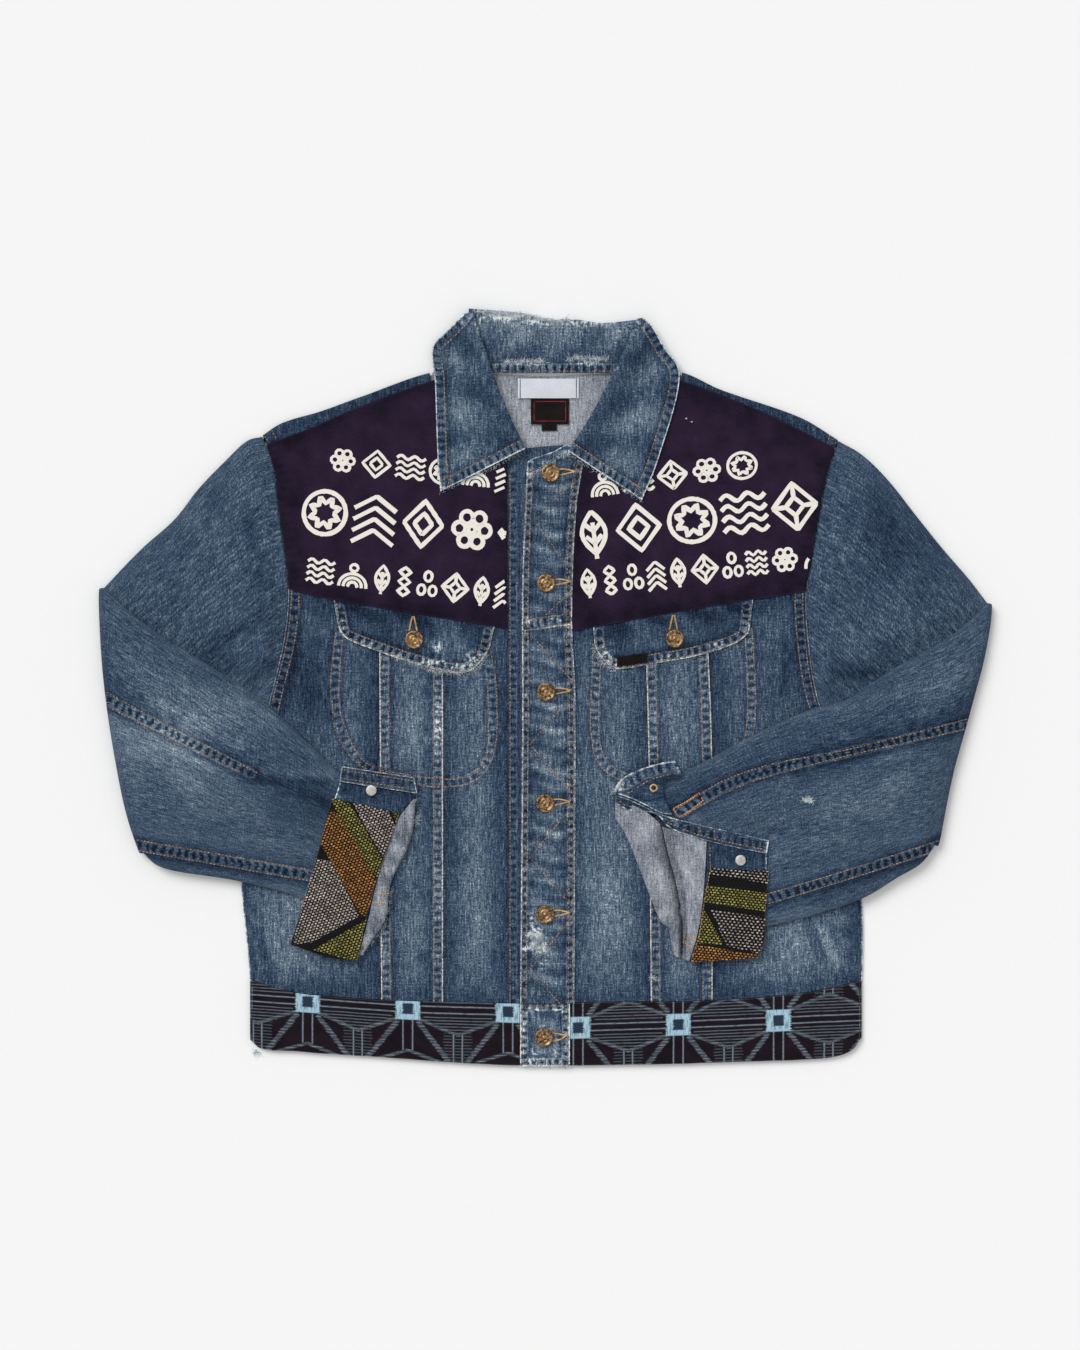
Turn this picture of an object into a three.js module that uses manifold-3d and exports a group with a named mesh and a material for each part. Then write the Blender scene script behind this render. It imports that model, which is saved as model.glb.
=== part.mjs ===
// Patched denim jacket, laid flat on its back with the front up and both sleeve ends folded over the body.
// Millimetres. +X is across the body, +Y towards the collar, +Z up from the surface that it lies on.
// Every cloth piece is a thin wall bent over its own middle surface, place(u, v).

import * as THREE from 'three';
import { mergeVertices } from 'three/addons/utils/BufferGeometryUtils.js';
import Module from 'manifold-3d';

const wasm = await Module();
wasm.setup();

// ---- Driving dimensions -------------------------------------------------------------------------

const DENIM = 1.2; // one layer of denim
const PATCH_CLOTH = 1.0; // one layer of thinner patch cloth, and the woven labels
const DOUBLE = 2.4; // two layers sewn together: waistband, collar and cuff binding
const GAP = 0.3; // clearance between neighbours, where the real pieces are sewn together
const SEAM = GAP / 2; // each neighbour's share of it
const ARMHOLE_GAP = 0.6; // the armhole is a curve, met by facets from both sides

// Heights of middle surfaces above the ground
const BACK = DENIM / 2;
const BAG = DENIM + GAP + DENIM / 2;
const FRONT = 4.2;
const FRONT_TOP = FRONT + DENIM / 2;
const ON_FRONT = FRONT_TOP + GAP + DENIM / 2;
const ON_FRONT_TOP = ON_FRONT + DENIM / 2;
const BAND_BACK = DOUBLE / 2;
const BAND_FRONT = DOUBLE + GAP + DOUBLE / 2;
const CUFF = 10.8; // the turned-back sleeve ends, on top of the forearms
const CUFF_TOP = CUFF + DENIM / 2;

// Half the distance between a sleeve's two layers
const SLEEVE_HALF_ARMHOLE = 1.8;
const SLEEVE_HALF_ELBOW = 2.4;
const SLEEVE_HALF_WRIST = 1.8;

const BUTTON_RADIUS = 8.5;
const BUTTON_HEIGHT = 3.4;
const TACK_RADIUS = 5;
const TACK_HEIGHT = 1.8;

// ---- Materials ----------------------------------------------------------------------------------

const finish = (color, roughness = 0.9, metalness = 0) => (
  new THREE.MeshStandardMaterial({ color, roughness, metalness })
);
const MATERIALS = {
  denim: finish(0x3d5673),
  inside: finish(0x9aa3ab),
  indigo: finish(0x241a33),
  ikat: finish(0x241c2a),
  woven: finish(0x6b6a3a),
  brass: finish(0x8a6d45, 0.4, 1),
  tack: finish(0xc9c6c0, 0.35, 1),
  label_white: finish(0xeef0f6),
  label_black: finish(0x1d1a18),
};

// ---- Curves in plan -----------------------------------------------------------------------------

const clamp = THREE.MathUtils.clamp;
const lerp = THREE.MathUtils.lerp;

// A smooth function through a few [from, to] points in rising order, straight beyond its ends
function through(points) {
  const last = points.length - 1;
  const slope = (i) => {
    const [x0, y0] = points[Math.max(i - 1, 0)];
    const [x1, y1] = points[Math.min(i + 1, last)];
    return (y1 - y0) / (x1 - x0);
  };
  return (x) => {
    let i = 0;
    while (i < last - 1 && x > points[i + 1][0]) i += 1;
    const [x0, y0] = points[i];
    const [x1, y1] = points[i + 1];
    const step = x1 - x0;
    const t = clamp((x - x0) / step, 0, 1);
    const beyond = x - (x0 + t * step);
    const a = slope(i) * step;
    const b = slope(i + 1) * step;
    const bend = (2 * t ** 3 - 3 * t ** 2 + 1) * y0 + (t ** 3 - 2 * t ** 2 + t) * a;
    const rest = (3 * t ** 2 - 2 * t ** 3) * y1 + (t ** 3 - t ** 2) * b;
    return bend + rest + (beyond < 0 ? beyond * slope(0) : beyond * slope(last));
  };
}

// A smooth edge through [x, y] points, as a function of the share of its length
function edge(points) {
  const path = new THREE.CatmullRomCurve3(points.map(([x, y]) => new THREE.Vector3(x, y, 0)), false, 'centripetal');
  return (t) => path.getPointAt(clamp(t, 0, 1));
}

// The surface spanned by four edges that share their corners; u runs along start and end, v along low and high
function spanned(low, high, start, end) {
  return (u, v) => {
    const ruledV = start(u).multiplyScalar(1 - v).addScaledVector(end(u), v);
    const ruledU = low(v).multiplyScalar(1 - u).addScaledVector(high(v), u);
    const corners = start(0).multiplyScalar((1 - u) * (1 - v)).addScaledVector(start(1), u * (1 - v));
    corners.addScaledVector(end(0), (1 - u) * v).addScaledVector(end(1), u * v);
    return ruledV.add(ruledU).sub(corners);
  };
}

// ---- Cloth --------------------------------------------------------------------------------------

const jacket = new THREE.Group();
jacket.name = 'patched_jacket';

function turnedOut(geometry) {
  const { position } = geometry.attributes;
  const index = geometry.index.array;
  const corner = (i) => new THREE.Vector3().fromBufferAttribute(position, index[i]);
  let volume = 0;
  for (let i = 0; i < index.length; i += 3) {
    volume += corner(i).dot(corner(i + 1).cross(corner(i + 2)));
  }
  if (volume < 0) index.reverse();
  return geometry;
}

function normalAt(place, u, v) {
  const step = 1e-3;
  const along = (a, b) => b.clone().sub(a);
  const du = along(place(Math.max(u - step, 0), v), place(Math.min(u + step, 1), v));
  const dv = along(place(u, Math.max(v - step, 0)), place(u, Math.min(v + step, 1)));
  return du.cross(dv).normalize();
}

// A box bent over the middle surface place(u, v), with its wall split evenly to both sides
function bentWall(place, columns, rows, wall = DENIM) {
  const geometry = new THREE.BoxGeometry(1, 1, 1, columns, rows, 1);
  geometry.deleteAttribute('normal');
  geometry.deleteAttribute('uv');
  const { position } = geometry.attributes;
  for (let i = 0; i < position.count; i += 1) {
    const u = position.getX(i) + 0.5;
    const v = position.getY(i) + 0.5;
    const side = position.getZ(i) * wall;
    const point = place(u, v).clone().addScaledVector(normalAt(place, u, v), side);
    position.setXYZ(i, point.x, point.y, point.z);
  }
  return turnedOut(mergeVertices(geometry, 1e-5));
}

function add(name, slot, geometry) {
  geometry.computeVertexNormals();
  const mesh = new THREE.Mesh(geometry, MATERIALS[slot]);
  mesh.name = name;
  jacket.add(mesh);
  return mesh;
}

// A flat-lying piece between x = left(y), x = right(y), y = bottom(x) and y = top(x), at height(x, y)
function between({ left, right, bottom, top, inset = SEAM }, height) {
  return (u, v) => {
    let x = lerp(left(0), right(0), u);
    let y = lerp(bottom(x), top(x), v);
    for (let i = 0; i < 12; i += 1) {
      x = lerp(left(y) + inset, right(y) - inset, u);
      y = lerp(bottom(x) + inset, top(x) - inset, v);
    }
    return new THREE.Vector3(x, y, height(x, y));
  };
}

// Columns closer together at both sides, and rows closer together at the top, where the outline bends most
const closerAtEnds = (share) => (1 - Math.cos(Math.PI * share)) / 2;
const closerAtTop = (share) => 1 - (1 - share) ** 1.5;
const spaced = (place) => (u, v) => place(closerAtEnds(u), closerAtTop(v));

function united(geometries) {
  const solids = geometries.map((geometry) => {
    const bare = mergeVertices(geometry, 1e-4);
    return new wasm.Manifold(new wasm.Mesh({
      numProp: 3,
      vertProperties: new Float32Array(bare.attributes.position.array),
      triVerts: new Uint32Array(bare.index.array),
    }));
  });
  const whole = solids.reduce((a, b) => a.add(b)).getMesh();
  const geometry = new THREE.BufferGeometry();
  geometry.setAttribute('position', new THREE.BufferAttribute(new Float32Array(whole.vertProperties), 3));
  geometry.setIndex(Array.from(whole.triVerts));
  return geometry;
}

// ---- Lines of the body, seen from above ---------------------------------------------------------

const at = (value) => () => value;

const SHOULDER = through([
  [-262, 229], [-242, 242], [-206, 253], [-170, 266], [-103, 289], [-60, 290],
  [0, 288], [66, 290], [124, 289], [161, 273], [235, 247], [270, 226],
]);
const LEFT = {
  // x of y from the hem up: side of the body, then the armhole up to the shoulder
  outer: through([
    [-292, -271], [-256, -272], [-196, -278], [-178, -279], [-104, -271], [-45, -260],
    [-12, -253], [43, -240], [86, -236], [120, -239], [162, -245], [198, -249], [232, -260],
  ]),
  yokeSeam: through([[-237, 90], [-227, 87], [-197, 80], [-36, 53], [0, 47]]),
  hemSeam: through([[-272, -269], [-233, -280], [-190, -285], [-138, -288], [-43, -290.5], [0, -291]]),
  shoulderSeam: through([
    [-254, 223], [-216, 237], [-170, 257], [-103, 281], [-88, 283], [-72, 262], [-56, 228], [-30, 207],
  ]),
  firstRidge: through([[-292, -150.5], [70, -152.5]]),
  secondRidge: at(-93.5),
  centre: at(-35),
};
const RIGHT = {
  outer: through([
    [-292, 291], [-224, 292], [-178, 290], [-104, 281], [-45, 262],
    [-8, 250], [34, 243], [87, 240], [115, 245], [157, 252], [193, 259], [228, 270],
  ]),
  yokeSeam: through([[0, 47], [25, 51], [161, 75], [240, 87]]),
  hemSeam: through([[0, -291], [75, -289], [122, -289], [165, -287.5], [207, -284.5], [248, -279.5], [291, -270]]),
  shoulderSeam: through([
    [28, 207], [60, 228], [76, 262], [92, 285], [124, 281], [198, 253], [261, 222],
  ]),
  firstRidge: through([[-292, 97], [-72, 95], [50, 92]]),
  secondRidge: through([[-292, 154], [-63, 153.5], [60, 149]]),
  centre: at(17),
};
const HEM_BOTTOM = through([
  [-272, -322], [-262, -332], [-229, -335], [-190, -338], [-142, -341], [-86, -345], [-23, -348],
  [101, -347], [165, -345], [228, -343], [266, -340], [284, -332], [292, -318],
]);

// ---- Back ---------------------------------------------------------------------------------------

const BACK_SEAM = at(66);
const SIDE_INSET = 0.5;

// The front's edges fall to the back over this width
const SIDE_FALL = 14;
function frontHeight(x, y) {
  const inwards = Math.min(x - LEFT.outer(y), RIGHT.outer(y) - x);
  const share = clamp(inwards / SIDE_FALL, 0, 1);
  const below = y < -60 ? clamp((-60 - y) / 40, 0, 1) : 0;
  const low = lerp(FRONT, BAG, below);
  return lerp(low, FRONT, Math.sin(share * Math.PI / 2));
}

// The back yoke is rolled over both shoulders, where it shows in front as a strip
function shoulderStrip(side, from, to) {
  const radius = (FRONT - BACK) / 2;
  const middle = (FRONT + BACK) / 2;
  return (u, v) => {
    const x = lerp(from, to, u);
    const crest = SHOULDER(x) - radius - DENIM / 2;
    const seam = side.shoulderSeam(x) + SEAM;
    const lowerLeg = 0.25;
    const turn = 0.75;
    if (v < lowerLeg) return new THREE.Vector3(x, lerp(crest - 5, crest, v / lowerLeg), BACK);
    if (v > turn) return new THREE.Vector3(x, lerp(crest, Math.min(seam, crest - 1), (v - turn) / (1 - turn)), FRONT);
    const angle = Math.PI * (v - lowerLeg) / (turn - lowerLeg);
    return new THREE.Vector3(x, crest + radius * Math.sin(angle), middle - radius * Math.cos(angle));
  };
}

function back() {
  const plate = between({
    left: LEFT.outer,
    right: RIGHT.outer,
    bottom: BACK_SEAM,
    top: (x) => SHOULDER(x) - (FRONT - BACK) / 2 - DENIM / 2,
  }, at(BACK));
  const strips = [
    bentWall(shoulderStrip(LEFT, -254, -106), 6, 8),
    bentWall(shoulderStrip(RIGHT, 126, 262), 6, 8),
  ];
  add('back_yoke', 'denim', united([bentWall(plate, 16, 7), ...strips]));
  const panel = between({
    left: (y) => LEFT.outer(y) + SIDE_INSET,
    right: (y) => RIGHT.outer(y) - SIDE_INSET,
    bottom: (x) => (x < 0 ? LEFT.hemSeam(x) : RIGHT.hemSeam(x)) + GAP,
    top: BACK_SEAM,
  }, at(BACK));
  add('back_panel', 'denim', bentWall(spaced(panel), 12, 11));
}

// ---- Fronts -------------------------------------------------------------------------------------

function front(side, name, out) {
  // out is -1 on the left and 1 on the right; ridges are named from the armhole inwards on the left
  const ridges = out < 0
    ? [side.outer, side.firstRidge, side.secondRidge, side.centre]
    : [side.centre, side.firstRidge, side.secondRidge, side.outer];
  const names = out < 0 ? ['side', 'mid', 'centre'] : ['centre', 'mid', 'side'];
  names.forEach((part, i) => {
    const place = between({
      left: ridges[i],
      right: ridges[i + 1],
      bottom: side.hemSeam,
      top: side.yokeSeam,
    }, frontHeight);
    const isSide = part === 'side';
    add(`front_${name}_${part}`, 'denim', bentWall(isSide ? spaced(place) : place, isSide ? 7 : 2, isSide ? 12 : 4));
  });
  const yoke = between({
    left: ridges[0],
    right: ridges[3],
    bottom: side.yokeSeam,
    top: side.shoulderSeam,
  }, at(FRONT));
  add(`yoke_${name}`, 'denim', bentWall(yoke, 10, 5));
}

function yokePatches() {
  const left = between({
    left: (y) => LEFT.outer(y) + 1,
    right: at(-35),
    bottom: LEFT.yokeSeam,
    top: LEFT.shoulderSeam,
  }, at(ON_FRONT - 0.1));
  add('yoke_patch_left', 'indigo', bentWall(left, 10, 5, PATCH_CLOTH));
  const right = between({
    left: PLACKET_RIGHT,
    right: (y) => RIGHT.outer(y) - 1,
    bottom: RIGHT.yokeSeam,
    top: RIGHT.shoulderSeam,
  }, at(ON_FRONT - 0.1));
  add('yoke_patch_right', 'indigo', bentWall(right, 10, 5, PATCH_CLOTH));
}

// ---- Placket, from the neck to the waistband ----------------------------------------------------

const PLACKET_LEFT = through([[-291, -23], [-12, -21], [97, -21], [195, -17]]);
const PLACKET_RIGHT = through([[-291, 27], [-12, 28], [61, 25], [162, 29], [215, 37]]);
const PLACKET_SEAM = through([[-23, 50], [28, 57]]);

function placket() {
  const neckline = through([[-20, 196], [-10, 199], [8, 210], [21, 218], [30, 212], [40, 196]]);
  const upper = between({
    left: PLACKET_LEFT,
    right: (y) => PLACKET_RIGHT(y) - SEAM,
    bottom: PLACKET_SEAM,
    top: neckline,
  }, at(ON_FRONT));
  add('placket_upper', 'denim', bentWall(upper, 4, 4));
  const lower = between({
    left: PLACKET_LEFT,
    right: PLACKET_RIGHT,
    bottom: at(-291),
    top: PLACKET_SEAM,
  }, at(ON_FRONT));
  add('placket_lower', 'denim', bentWall(lower, 2, 5));
  const under = between({
    left: at(-35),
    right: at(17),
    bottom: at(-291),
    top: through([[-35, 205], [-10, 200], [17, 212]]),
  }, at(FRONT));
  add('under_placket', 'denim', bentWall(under, 2, 4));
}

// ---- Pockets ------------------------------------------------------------------------------------

function pocketBags() {
  const bags = {
    left: {
      left: through([[-58, -184], [-31, -194], [5, -195], [70, -194]]),
      right: through([[-64, -52], [-40, -44], [5, -44], [50, -49]]),
      bottom: through([[-190, -56], [-169, -74], [-117, -83], [-72, -84], [-50, -66]]),
      top: (x) => LEFT.yokeSeam(x) - 3,
    },
    right: {
      left: through([[-58, 46], [-17, 42], [50, 44]]),
      right: through([[-64, 180], [-40, 192], [5, 193], [70, 191]]),
      bottom: through([[46, -58], [59, -75], [75, -82], [150, -84], [176, -74], [192, -50]]),
      top: (x) => RIGHT.yokeSeam(x) - 3,
    },
  };
  for (const [name, lines] of Object.entries(bags)) {
    add(`pocket_bag_${name}`, 'denim', bentWall(between(lines, at(BAG)), 8, 4));
  }
}

function flaps() {
  const outlines = {
    left: {
      left: through([[15, -186], [36, -184], [56, -190], [79, -194]]),
      right: through([[12, -70], [28, -54], [52, -47]]),
      bottom: through([[-188, 50], [-181, 43], [-153, 32], [-124, 22], [-98, 15], [-78, 12], [-64, 17], [-52, 30]]),
      top: (x) => LEFT.yokeSeam(x) - GAP,
    },
    right: {
      left: through([[14, 70], [23, 54], [37, 46], [56, 44]]),
      right: through([[36, 180], [50, 187], [72, 190]]),
      bottom: through([[45, 34], [54, 22], [67, 16], [94, 20], [139, 28], [176, 40], [188, 50]]),
      top: (x) => RIGHT.yokeSeam(x) - GAP,
    },
  };
  for (const [name, lines] of Object.entries(outlines)) {
    add(`flap_${name}`, 'denim', bentWall(between(lines, at(ON_FRONT)), 12, 3));
  }
  const tag = between({
    left: at(66),
    right: at(94),
    bottom: through([[66, 18], [94, 22]]),
    top: through([[66, 27], [94, 31]]),
    inset: 0,
  }, at(ON_FRONT_TOP + GAP + PATCH_CLOTH / 2));
  add('flap_tag', 'label_black', bentWall(tag, 1, 1, PATCH_CLOTH));
}

// ---- Waistband ----------------------------------------------------------------------------------

// One strip all round: from the centre front along the left front, round the side and along the back
function waistband() {
  const sideLeft = -268.5;
  const sideRight = 288.5;
  const radius = (BAND_FRONT - BAND_BACK) / 2;
  const middle = (BAND_FRONT + BAND_BACK) / 2;
  const stations = [];
  const lay = (x, z) => stations.push([x, z]);
  const frontSteps = 8;
  const backSteps = 14;
  for (let i = 0; i <= frontSteps; i += 1) lay(lerp(-23 - GAP, sideLeft, closerAtEnds(i / frontSteps)), BAND_FRONT);
  for (const turn of [0.25, 0.5, 0.75]) {
    lay(sideLeft - radius * Math.sin(turn * Math.PI), middle + radius * Math.cos(turn * Math.PI));
  }
  for (let i = 0; i <= backSteps; i += 1) lay(lerp(sideLeft, sideRight, closerAtEnds(i / backSteps)), BAND_BACK);
  for (const turn of [0.25, 0.5, 0.75]) {
    lay(sideRight + radius * Math.sin(turn * Math.PI), middle - radius * Math.cos(turn * Math.PI));
  }
  for (let i = 0; i <= frontSteps; i += 1) lay(lerp(sideRight, 23 + GAP, closerAtEnds(i / frontSteps)), BAND_FRONT);
  const last = stations.length - 1;
  const place = (u, v) => {
    const i = Math.min(Math.floor(u * last), last - 1);
    const share = u * last - i;
    const x = lerp(stations[i][0], stations[i + 1][0], share);
    const z = lerp(stations[i][1], stations[i + 1][1], share);
    const top = (x < 0 ? LEFT.hemSeam(x) : RIGHT.hemSeam(x)) - SEAM;
    return new THREE.Vector3(x, lerp(HEM_BOTTOM(x), top - GAP, v), z);
  };
  add('waistband', 'ikat', bentWall(place, last, 2, DOUBLE));
  const tab = between({ left: at(-23), right: at(23), bottom: at(-349), top: at(-291) }, at(BAND_FRONT));
  add('waistband_tab', 'denim', bentWall(tab, 1, 1, DOUBLE));
}

// ---- Sleeves ------------------------------------------------------------------------------------

// The line along which a sleeve meets the body, from the shoulder to the armpit
function armhole(side, out, shoulder, armpit) {
  const points = 10;
  return Array.from({ length: points }, (_, i) => {
    const y = lerp(shoulder, armpit, i / (points - 1));
    return [side.outer(y) + out * ARMHOLE_GAP, y];
  });
}

// Each sleeve is a flattened tube that is folded over at the elbow, so that its end lies on the body
const SLEEVES = {
  left: {
    shoulder: [armhole(LEFT, -1, 229, -45)[0], [-272, 226], [-294, 206], [-318, 181], [-340, 153], [-369, 127], [-405, 90]],
    armhole: armhole(LEFT, -1, 229, -45),
    underarm: [armhole(LEFT, -1, 229, -45).at(-1), [-312, -98], [-368, -152]],
    elbow: [[-405, 90], [-404, 69], [-401, 24], [-396, -20], [-388, -70], [-379, -115], [-368, -152]],
    elbowOut: [-0.988, -0.154],
    upper: [[-405, 90], [-377, 65], [-337, 37], [-301, 15], [-270, -5], [-247, -24], [-216, -53], [-187, -80], [-126, -102]],
    lower: [[-368, -152], [-354, -164], [-280, -178], [-223, -194], [-200, -210], [-176, -236]],
    wrist: [[-126, -102], [-130, -138], [-156, -206], [-176, -236]],
    seams: { elbow: [0.4, 0.95], wrist: [0.16, 0.78] },
  },
  right: {
    shoulder: [armhole(RIGHT, 1, 225, -45)[0], [290, 213], [313, 191], [340, 157], [364, 127], [389, 98], [406, 76]],
    armhole: armhole(RIGHT, 1, 225, -45),
    underarm: [armhole(RIGHT, 1, 225, -45).at(-1), [310, -95], [357, -145]],
    elbow: [[406, 76], [403, 54], [396, 20], [389, -5], [380, -38], [370, -74], [363, -108], [357, -145]],
    elbowOut: [0.976, -0.217],
    upper: [[406, 76], [379, 51], [345, 30], [322, 17], [297, 1], [278, -12], [242, -22], [193, -44], [143, -71], [116, -84], [82, -100]],
    lower: [[357, -145], [345, -161], [322, -175], [290, -194], [205, -219], [150, -226]],
    wrist: [[82, -100], [118, -135], [138, -180], [150, -226]],
    seams: { elbow: [0.44, 0.95], wrist: [0.14, 0.72] },
  },
};

const ARM_ROWS = 5;
const FOLD_ROWS = 4;
const FOREARM_ROWS = 8;
const SLEEVE_ROWS = ARM_ROWS + FOLD_ROWS + FOREARM_ROWS;

// The sheet halfway between the layers: from the armhole (w = 0) round the elbow fold to the wrist
function sleeveMiddle(sleeve) {
  const arm = spanned(edge(sleeve.shoulder), edge(sleeve.underarm), edge(sleeve.armhole), edge(sleeve.elbow));
  const forearm = spanned(edge(sleeve.upper), edge(sleeve.lower), edge(sleeve.elbow), edge(sleeve.wrist));
  const armElbow = BACK + SLEEVE_HALF_ELBOW;
  const armTop = DENIM + 2 * SLEEVE_HALF_ELBOW;
  const forearmElbow = armTop + GAP + DENIM / 2 + SLEEVE_HALF_ELBOW;
  const forearmWrist = FRONT_TOP + GAP + DENIM / 2 + SLEEVE_HALF_WRIST;
  const radius = (forearmElbow - armElbow) / 2;
  const out = new THREE.Vector3(...sleeve.elbowOut, 0);
  const up = new THREE.Vector3(0, 0, 1);
  return (t, w) => {
    const row = w * SLEEVE_ROWS;
    if (row <= ARM_ROWS) {
      const s = row / ARM_ROWS;
      const half = lerp(SLEEVE_HALF_ARMHOLE, SLEEVE_HALF_ELBOW, s);
      return { point: arm(t, s).setZ(BACK + half), inner: up.clone(), half, s: 0 };
    }
    if (row <= ARM_ROWS + FOLD_ROWS) {
      const angle = Math.PI * (row - ARM_ROWS) / FOLD_ROWS;
      const from = out.clone().multiplyScalar(Math.sin(angle)).addScaledVector(up, -Math.cos(angle));
      const point = edge(sleeve.elbow)(t).setZ(armElbow + radius).addScaledVector(from, radius);
      return { point, inner: from.negate(), half: SLEEVE_HALF_ELBOW, s: 0 };
    }
    const s = (row - ARM_ROWS - FOLD_ROWS) / FOREARM_ROWS;
    const half = lerp(SLEEVE_HALF_ELBOW, SLEEVE_HALF_WRIST, s);
    const ease = clamp(s / 0.7, 0, 1);
    return { point: forearm(t, s).setZ(lerp(forearmElbow, forearmWrist, ease)), inner: up.clone().negate(), half, s };
  };
}

function sleeveWall(sleeve, which) {
  const middle = sleeveMiddle(sleeve);
  const elbow = edge(sleeve.elbow);
  const width = elbow(0).distanceTo(elbow(1));
  const seamShare = SEAM / width;
  return (u, w) => {
    const { s } = middle(0, w);
    const low = lerp(sleeve.seams.elbow[0], sleeve.seams.wrist[0], s);
    const high = lerp(sleeve.seams.elbow[1], sleeve.seams.wrist[1], s);
    const around = (t) => Math.acos(1 - 2 * t);
    const angle = which === 'under'
      ? lerp(2 * Math.PI - around(high - seamShare), 2 * Math.PI - around(low + seamShare), u)
      : lerp(-around(low - seamShare), 2 * Math.PI - around(high + seamShare), u);
    const t = (1 - Math.cos(angle)) / 2;
    const { point, inner, half } = middle(t, w);
    const swell = Math.sign(Math.sin(angle)) * Math.abs(Math.sin(angle)) ** 0.6;
    return point.addScaledVector(inner, half * swell);
  };
}

function sleeves() {
  for (const [name, sleeve] of Object.entries(SLEEVES)) {
    add(`sleeve_${name}_outer`, 'denim', bentWall(sleeveWall(sleeve, 'outer'), 16, SLEEVE_ROWS));
    add(`sleeve_${name}_under`, 'denim', bentWall(sleeveWall(sleeve, 'under'), 3, SLEEVE_ROWS));
  }
}

// ---- Sleeve ends, turned back -------------------------------------------------------------------

// A flat piece spanned by four edges, at height(u, v)
function flat(low, high, start, end, height) {
  const plan = spanned(edge(low), edge(high), edge(start), edge(end));
  return (u, v) => plan(u, v).setZ(height(u, v));
}

function leftCuff() {
  const facing = flat(
    [[-172, -250], [-233, -235]],
    [[-118, -99], [-188, -88]],
    [[-172, -250], [-163, -211], [-150, -165], [-118, -99]],
    [[-233, -235], [-204, -139], [-188, -88]],
    at(CUFF),
  );
  add('cuff_left_facing', 'denim', bentWall(facing, 6, 4));
  const patchHeight = CUFF_TOP + GAP + PATCH_CLOTH / 2;
  const patch = flat(
    [[-172, -251], [-197, -248], [-233, -236]],
    [[-133, -116], [-195, -102]],
    [[-172, -251], [-163, -211], [-155, -180], [-133, -116]],
    [[-233, -236], [-210, -159], [-195, -102]],
    at(patchHeight),
  );
  add('cuff_left_patch', 'woven', bentWall(patch, 6, 4, PATCH_CLOTH));
  const hem = flat(
    [[-117, -98], [-188, -87]],
    [[-120, -83], [-186, -73]],
    [[-117, -98], [-120, -83]],
    [[-188, -87], [-186, -73]],
    at(CUFF - DENIM / 2 + DOUBLE / 2),
  );
  add('cuff_left_hem', 'denim', bentWall(hem, 1, 3, DOUBLE));

  // The wrong side of the sleeve, rolled over the turned edge and down beside the forearm's end
  const inner = edge([[-171, -246], [-162, -211], [-149, -165], [-122, -108]]);
  const roll = edge([[-168, -242], [-157, -230], [-148, -221], [-141, -185], [-126, -159], [-121, -139], [-119, -113]]);
  const radius = 2.6;
  const strip = (u, v) => {
    const from = inner(v).add(new THREE.Vector3(GAP * 2, 0, 0));
    const crest = roll(v).add(new THREE.Vector3(-radius, 0, 0));
    const span = Math.max(crest.x - from.x, 1);
    if (u < 0.5) return new THREE.Vector3(from.x + span * u * 2, from.y, CUFF);
    const angle = Math.PI * (u - 0.5) * 2;
    const reach = radius * Math.sin(angle);
    return new THREE.Vector3(from.x + span + reach, from.y, CUFF - radius * (1 - Math.cos(angle)));
  };
  add('cuff_left_inside', 'inside', bentWall(strip, 6, 6));
}

function rightCuff() {
  const bindingHeight = CUFF - DENIM / 2 + DOUBLE / 2;
  const hemFront = flat(
    [[63, -98], [68, -104]],
    [[119, -68], [124, -79]],
    [[63, -98], [67, -92], [84, -79], [102, -71], [119, -68]],
    [[68, -104], [80, -92], [100, -82], [124, -79]],
    at(bindingHeight),
  );
  add('cuff_right_hem_front', 'denim', bentWall(hemFront, 5, 1, DOUBLE));
  const hemBack = flat(
    [[66, -115], [68, -105]],
    [[203, -153], [205, -141]],
    [[66, -115], [90, -124], [108, -131], [140, -139], [182, -148], [203, -153]],
    [[68, -105], [91, -112], [109, -119], [144, -128], [182, -135], [205, -141]],
    at(bindingHeight),
  );
  add('cuff_right_hem_back', 'denim', bentWall(hemBack, 7, 1, DOUBLE));
  const facing = flat(
    [[133, -251], [195, -247]],
    [[149, -142], [203, -154]],
    [[133, -251], [141, -225], [146, -190], [149, -142]],
    [[195, -247], [201, -232], [202, -204], [203, -154]],
    at(CUFF),
  );
  add('cuff_right_facing', 'denim', bentWall(facing, 5, 3));
  const patch = flat(
    [[133, -252], [160, -251], [195, -248]],
    [[151, -166], [205, -169]],
    [[133, -252], [140, -230], [145, -197], [151, -166]],
    [[195, -248], [201, -232], [202, -204], [205, -169]],
    at(CUFF_TOP + GAP + PATCH_CLOTH / 2),
  );
  add('cuff_right_patch', 'woven', bentWall(patch, 5, 3, PATCH_CLOTH));
  const inside = flat(
    [[126, -249], [132, -251]],
    [[110, -132], [148, -142]],
    [[126, -249], [127, -216], [125, -198], [110, -132]],
    [[132, -251], [140, -225], [145, -190], [148, -142]],
    at(CUFF),
  );
  add('cuff_right_inside', 'inside', bentWall(inside, 5, 2));

  // The wrong side of the opened sleeve end, arched over the body to the left of the turned-back part
  const arch = (u, v) => {
    const plan = spanned(
      edge([[118, -246], [123, -248]]),
      edge([[66, -116], [107, -132]]),
      edge([[118, -246], [108, -216], [98, -195], [84, -159], [71, -129], [66, -116]]),
      edge([[123, -248], [125, -216], [122, -198], [107, -132]]),
    )(u, v);
    return plan.setZ(lerp(6.2, 9.6, Math.sin(Math.PI * v)));
  };
  add('cuff_right_lobe', 'inside', bentWall(arch, 6, 4));
}

// ---- Collar -------------------------------------------------------------------------------------

const NECK_SEAM = 288;

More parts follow.
